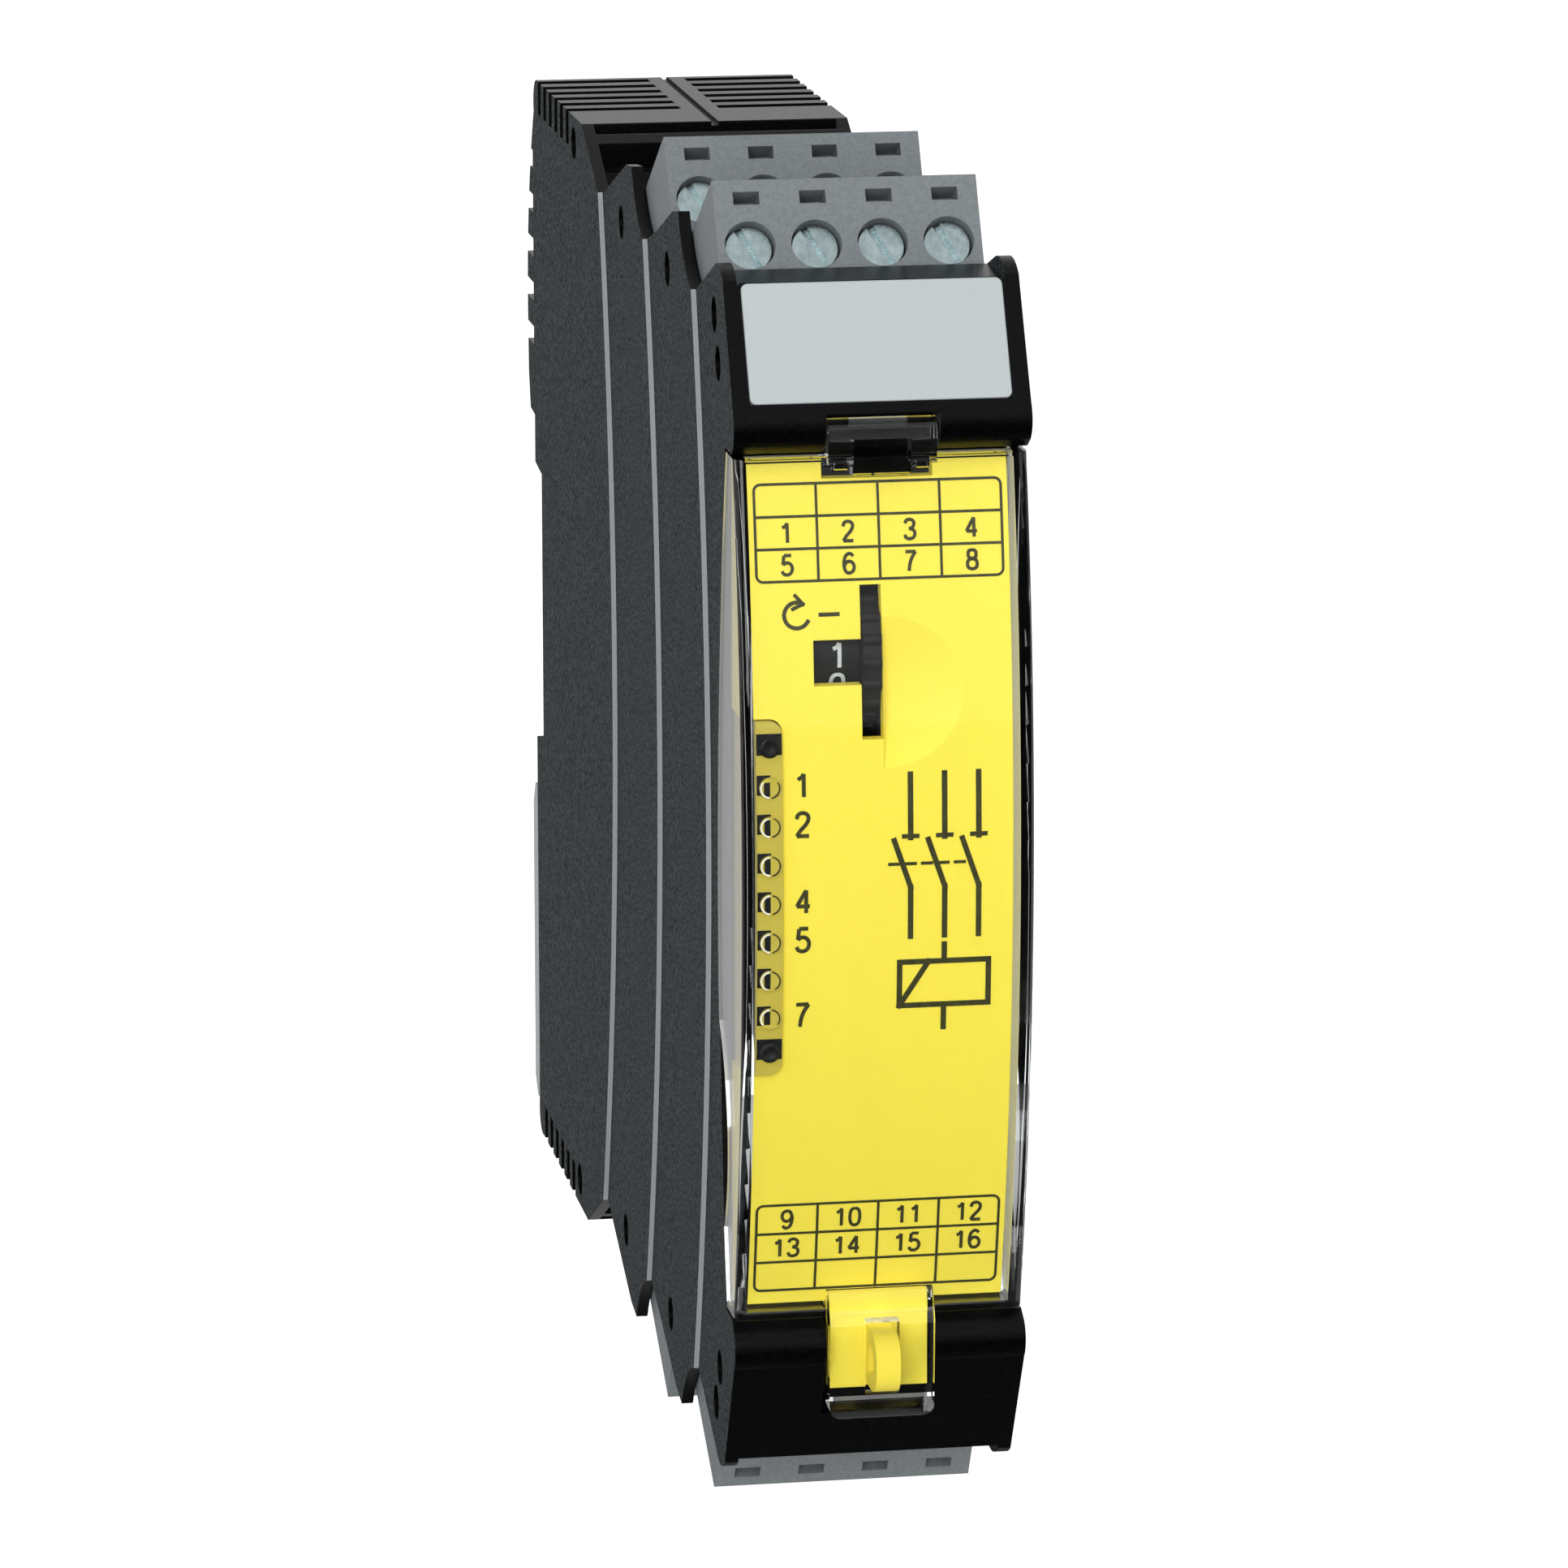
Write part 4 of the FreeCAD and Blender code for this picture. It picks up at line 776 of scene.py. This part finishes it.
# %% [markdown]
# ## Faces of the lights
# Each light pipe stands out of the strip with a thin rim, a dark bar and a pale glint down its left side,
# and a dark shade beside it keeps light from spilling into its neighbour. Two fixing pins on dark blocks
# end the strip. Rims and shades are drawn as strokes, the pins as turned heads.

# %% Light faces
GUIDE_FRONT = PLATE_FRONT - 0.4
PIPE_OUT = 0.25
SHADE_UP = 0.2                   # the shades sit a little above the middle of their pipes
SHADE_X, SHADE_HALF, SHADE_WIDTH = -9.2, 0.75, 1.04
BAR_BACK, BAR_HALF, BAR_WIDTH = 0.24, 0.6, 0.46
RIM_RADIUS, RIM_WIDTH = 0.72, 0.1
GLINT_RADIUS, GLINT_WIDTH = 0.7, 0.13
END_Z, END_X, END_WIDTH = (11.7, -11.7), (-9.72, -7.8), 1.6


def on_guide(across, up, lift):
    """As on the plate, but on the raised face of the strip."""
    return np.stack([across, GUIDE_FRONT + bow(up) - lift, up], -1)


def on_pipes(across, up, lift):
    """On the ends of the pipes, a quarter of a millimetre further out."""
    return on_guide(across, up, lift + PIPE_OUT)


def upright(x, z, half):
    """A run of twice the half height, upright about a middle."""
    return line((x, z - half), (x, z + half))


shades, rims, glints = [], [], []
for z in LIGHT_Z:
    shades.append(ribbon(upright(SHADE_X, z + SHADE_UP, SHADE_HALF), SHADE_WIDTH, False))
    rims.append(ribbon(arc((LIGHT_X, z), RIM_RADIUS, -80, 80), RIM_WIDTH, False))
    rims.append(ribbon(upright(LIGHT_X - BAR_BACK, z, BAR_HALF), BAR_WIDTH, False))
    glints.append(ribbon(arc((LIGHT_X, z), GLINT_RADIUS, 95, 265), GLINT_WIDTH, False))
for z in END_Z:
    shades.append(ribbon(line((END_X[0], z + SHADE_UP), (END_X[1], z + SHADE_UP)), END_WIDTH, False))
print_strokes("light_shades", shades, on_guide, black_moulding, "housing")
print_strokes("light_rims", rims, on_pipes, black_moulding, "housing")
print_strokes("light_glints", glints, on_pipes, light_resin, "housing")


def turned(name, centre, outline, finish, body, count=32):
    """A turned shape about an axis along y: the outline's radius swung round, its depth kept. Its ends are
    closed by fans that meet in a point on the axis."""
    outline = np.array(outline, float)
    a = np.linspace(0, 2 * np.pi, count, endpoint=False)
    x = centre[0] + outline[:, :1] * np.cos(a)
    z = centre[2] + outline[:, :1] * np.sin(a)
    y = np.broadcast_to(centre[1] + outline[:, 1:], x.shape)
    rings = np.stack([x, y, z], -1).reshape(-1, 3)
    wrapped = strip_faces(len(outline), count + 1)
    row, column = wrapped // (count + 1), wrapped % (count + 1) % count
    faces = (row * count + column).tolist()
    ends = [[centre[0], centre[1] + outline[k, 1], centre[2]] for k in (0, -1)]
    last = len(rings)
    k = np.arange(count)
    faces += np.stack([np.full(count, last), (k + 1) % count, k], 1).tolist()
    base = last - count
    faces += np.stack([np.full(count, last + 1), base + k, base + (k + 1) % count], 1).tolist()
    return fill_mesh(name, np.vstack([rings, ends]), faces, finish, body)


PIN_OUTLINE = [(0.78, 0.0), (0.78, -0.3), (0.72, -0.42), (0.5, -0.5), (0.42, -0.42), (0.3, -0.32),
               (0.05, -0.3)]
for k, z in enumerate(END_Z):
    turned("strip_pin_%d" % (k + 1), (LIGHT_X, GUIDE_FRONT + float(bow(z)), z), PIN_OUTLINE, black_moulding,
           "housing")
print("light faces:", len(shades), "shades and", len(rims), "rims")

# %% [markdown]
# ## Marker plate with rounded corners
# The pale marker is a small slab that snaps into the sloping front of the cap. Its corners and rims are
# softly rounded, and that is what catches the light. It is made as one grid: the first parameter runs round
# a rounded rectangle, the second over the rim from the back to the front. One flat face closes each end. Two
# small clips of the same make stand under it.

# %% Marker plate
CAP_TOP, CAP_NOSE = (-103.5, 45.9), (-108.35, 37.0)     # y and z at both ends of the cap's slope
MARKER_HALF, MARKER_THICK, MARKER_CORNER, MARKER_RIM = (9.9, 4.75), 0.8, 0.55, 0.16
MARKER_MIDDLE = 4.95                                    # from the top of the slope, along it
CLIPS = ((-6.7, 0.55), (7.1, 0.85))                     # middle across, and half length
CLIP_HALF, CLIP_THICK, CLIP_CORNER, CLIP_RIM, CLIP_UP = 0.16, 0.5, 0.12, 0.06, -4.9
slope = math.atan2(CAP_TOP[0] - CAP_NOSE[0], CAP_TOP[1] - CAP_NOSE[1])


def rounded_outline(half_w, half_h, radius, per_corner=8):
    """Points round a rectangle with round corners: each corner's centre plus a quarter circle."""
    a = np.radians(np.linspace(0, 90, per_corner))
    quarter = np.stack([np.cos(a), np.sin(a)], 1) * radius
    corners = []
    for k, (sx, sz) in enumerate(((1, 1), (-1, 1), (-1, -1), (1, -1))):
        turn = np.array([[math.cos(k * math.pi / 2), -math.sin(k * math.pi / 2)],
                         [math.sin(k * math.pi / 2), math.cos(k * math.pi / 2)]])
        centre = np.array([sx * (half_w - radius), sz * (half_h - radius)])
        corners.append(centre + quarter @ turn.T)
    return np.vstack(corners)


def slab(name, half_w, half_h, thick, corner, rim, lay, finish, body, slot):
    """A slab from its outline: rows drawn in by the rim's quarter circle as they come to the front."""
    steps = np.radians(np.linspace(0, 90, 7))
    rows = [(0.0, 0.0)] + [(rim * (1 - math.cos(s)), thick - rim + rim * math.sin(s)) for s in steps]
    points = []
    for inset, height in rows:
        ring = rounded_outline(half_w - inset, half_h - inset, corner - inset)
        points.append(lay(ring[:, 0], ring[:, 1], height))
    count = len(points[0])
    wrapped = strip_faces(len(rows), count + 1)
    faces = (wrapped // (count + 1) * count + wrapped % (count + 1) % count).tolist()
    k = np.arange(count)
    last = (len(rows) - 1) * count
    faces = [list(f) for f in faces] + [k[::-1].tolist(), (last + k).tolist()]
    return fill_mesh(name, np.concatenate(points), faces, finish, body, False)


def on_cap(across, up, lift):
    """On the cap's slope: up runs along it from the middle of the marker, lift stands out from it."""
    along = up - MARKER_MIDDLE
    deep = MARKER_THICK - lift
    y = CAP_TOP[0] + along * math.sin(slope) + deep * math.cos(slope)
    z = CAP_TOP[1] + along * math.cos(slope) - deep * math.sin(slope)
    return np.stack([np.asarray(across, float), y, z], -1)


marker = slab("marker_face", *MARKER_HALF, MARKER_THICK, MARKER_CORNER, MARKER_RIM, on_cap, marker_grey,
              "housing", "marker_grey")
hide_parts("marker_plate")


def beside(x, up):
    """The cap's slope again, moved to a small piece of its own."""
    return lambda across, along, lift: on_cap(across + x, along + up, lift)


for k, (x, half) in enumerate(CLIPS):
    slab("marker_clip_%d" % (k + 1), half, CLIP_HALF, CLIP_THICK, CLIP_CORNER, CLIP_RIM, beside(x, CLIP_UP),
         marker_grey, "housing", "marker_grey")
low, high = box_mm("marker_plate")
print("marker box", low.round(2), high.round(2))

# %% [markdown]
# ## Stage, light and camera
# The relay hangs on a rail in use, so it is shown free over a pale floor. The light is plain and soft: a
# large lamp from the upper left, a weaker one from the right and a bright, even surround that gloss and
# clear plastic can show. The camera stands a little left of the front and above it, with a long lens.

# %% Stage
FLOOR_HALF, FLOOR_Z = 3.0, -0.07                 # metres
FLOOR_GLOW = 0.7
FRONT_ROOM = (-0.2, 0.05)                        # y over which the floor turns from dark to pale for gloss
KEY = {"place": (-0.45, -1.28, 0.38), "size": 0.75, "power": 8.6}
FILL = {"place": (0.75, -1.15, 0.4), "size": 0.9, "power": 3.2}
LAMP_AIM = (0, -0.06, 0)
AIM = np.array([1.66, -55.0, -3.84]) * MM
AZIMUTH, ELEVATION, DISTANCE = math.radians(-9.643), math.radians(12.932), 0.6255
SENSOR, LENS = 36.0, 175.05                      # mm
SEEN, LIT, GLOSS_DARK, GLOSS_OPEN = 1.0, 0.45, 0.05, 0.9


def stage_floor():
    """A pale floor that is let through from below, so that the underside can be seen. Mirrored rays find its
    front part darker, as they find the room in front."""
    finish = Finish("pale_floor", roughness=0.9, specular=0.1)
    grain = finish.group(GRAIN, Grains_per_metre=30.0, Contrast=0.4)
    finish.colour(finish.mix(grain["Points"], linear(246, 246, 246), linear(250, 250, 250)))
    path = finish.tree.nodes.new("ShaderNodeLightPath")
    glow = finish.tree.nodes.new("ShaderNodeEmission")
    glow.inputs["Strength"].default_value = FLOOR_GLOW
    add = finish.tree.nodes.new("ShaderNodeAddShader")
    finish.link(finish.shader.outputs[0], add.inputs[0])
    finish.link(glow.outputs[0], add.inputs[1])
    dim = finish.tree.nodes.new("ShaderNodeMixShader")
    dark = finish.tree.nodes.new("ShaderNodeBsdfDiffuse")
    dark.inputs["Color"].default_value = (0.04, 0.04, 0.04, 1.0)
    spot = finish.split(finish.tree.nodes.new("ShaderNodeNewGeometry").outputs["Position"])
    in_front = finish.math("SUBTRACT", 1.0, finish.ramp(spot["Y"], *FRONT_ROOM))
    finish.link(finish.math("MULTIPLY", path.outputs["Is Glossy Ray"], in_front), dim.inputs[0])
    finish.link(finish.shader.outputs[0], dim.inputs[1])
    finish.link(dark.outputs[0], dim.inputs[2])
    seen = finish.tree.nodes.new("ShaderNodeMixShader")
    finish.link(path.outputs["Is Camera Ray"], seen.inputs[0])
    finish.link(dim.outputs[0], seen.inputs[1])
    finish.link(add.outputs[0], seen.inputs[2])
    behind = finish.tree.nodes.new("ShaderNodeMixShader")
    clear = finish.tree.nodes.new("ShaderNodeBsdfTransparent")
    side = finish.tree.nodes.new("ShaderNodeNewGeometry")
    finish.link(side.outputs["Backfacing"], behind.inputs[0])
    finish.link(seen.outputs[0], behind.inputs[1])
    finish.link(clear.outputs[0], behind.inputs[2])
    finish.link(behind.outputs[0], finish.tree.nodes["Material Output"].inputs["Surface"])
    mesh = bpy.data.meshes.new("floor")
    corners = [(x * FLOOR_HALF, y * FLOOR_HALF, FLOOR_Z) for x, y in ((-1, -1), (1, -1), (1, 1), (-1, 1))]
    mesh.from_pydata(corners, [], [(0, 1, 2, 3)])
    mesh.materials.append(finish.material)
    floor = bpy.data.objects.new("floor", mesh)
    bpy.context.scene.collection.objects.link(floor)


def add_lamp(name, place, size, power):
    """A square soft lamp at a place, turned to the part."""
    lamp = bpy.data.lights.new(name, "AREA")
    lamp.size = size
    lamp.energy = power
    holder = bpy.data.objects.new(name, lamp)
    bpy.context.scene.collection.objects.link(holder)
    holder.location = place
    holder.rotation_mode = "QUATERNION"
    holder.rotation_quaternion = Vector(np.subtract(LAMP_AIM, place)).to_track_quat("-Z", "Y")


def surround():
    """Even light: white where it is seen, greyer where it only lights, and dark in front for mirrored rays,
    as a dark room behind the viewer is, so that gloss adds no haze to dark plastic."""
    world = bpy.data.worlds.new("studio")
    bpy.context.scene.world = world
    world.use_nodes = True
    tree = world.node_tree
    background = tree.nodes["Background"]
    background.inputs["Color"].default_value = (1, 1, 1, 1)
    path = tree.nodes.new("ShaderNodeLightPath")
    direction = tree.nodes.new("ShaderNodeSeparateXYZ")
    tree.links.new(tree.nodes.new("ShaderNodeTexCoord").outputs["Generated"], direction.inputs[0])

    def spread(value, start, end, low, high):
        node = tree.nodes.new("ShaderNodeMapRange")
        node.interpolation_type = "SMOOTHSTEP"
        tree.links.new(value, node.inputs["Value"])
        for label, number in zip(("From Min", "From Max", "To Min", "To Max"), (start, end, low, high)):
            node.inputs[label].default_value = number
        return node.outputs["Result"]

    ahead = spread(direction.outputs["Y"], -0.7, -0.1, 0.0, 1.0)
    above = spread(direction.outputs["Z"], 0.3, 0.75, 0.0, 1.0)
    open_sky = math_node(tree, "MAXIMUM", ahead, above)
    mirrored = math_node(tree, "MULTIPLY", path.outputs["Is Glossy Ray"],
                         spread(open_sky, 0.0, 1.0, GLOSS_DARK - LIT, GLOSS_OPEN - LIT))
    seen = math_node(tree, "MAXIMUM", path.outputs["Is Camera Ray"], path.outputs["Is Transmission Ray"])
    added = math_node(tree, "ADD", math_node(tree, "MULTIPLY", seen, SEEN - LIT), mirrored)
    tree.links.new(math_node(tree, "ADD", added, LIT), background.inputs["Strength"])


stage_floor()
surround()
add_lamp("key", **KEY)
add_lamp("fill", **FILL)

camera_data = bpy.data.cameras.new("camera")
camera_data.sensor_width = SENSOR
camera_data.lens = LENS
camera = bpy.data.objects.new("camera", camera_data)
bpy.context.scene.collection.objects.link(camera)
back = np.array([math.sin(AZIMUTH) * math.cos(ELEVATION), -math.cos(AZIMUTH) * math.cos(ELEVATION),
                 math.sin(ELEVATION)])
camera.location = AIM + back * DISTANCE
camera.rotation_euler = (math.pi / 2 - ELEVATION, 0.0, AZIMUTH)
bpy.context.scene.camera = camera
bpy.context.scene.view_settings.view_transform = "Standard"
print("camera at", [round(v, 4) for v in camera.location])
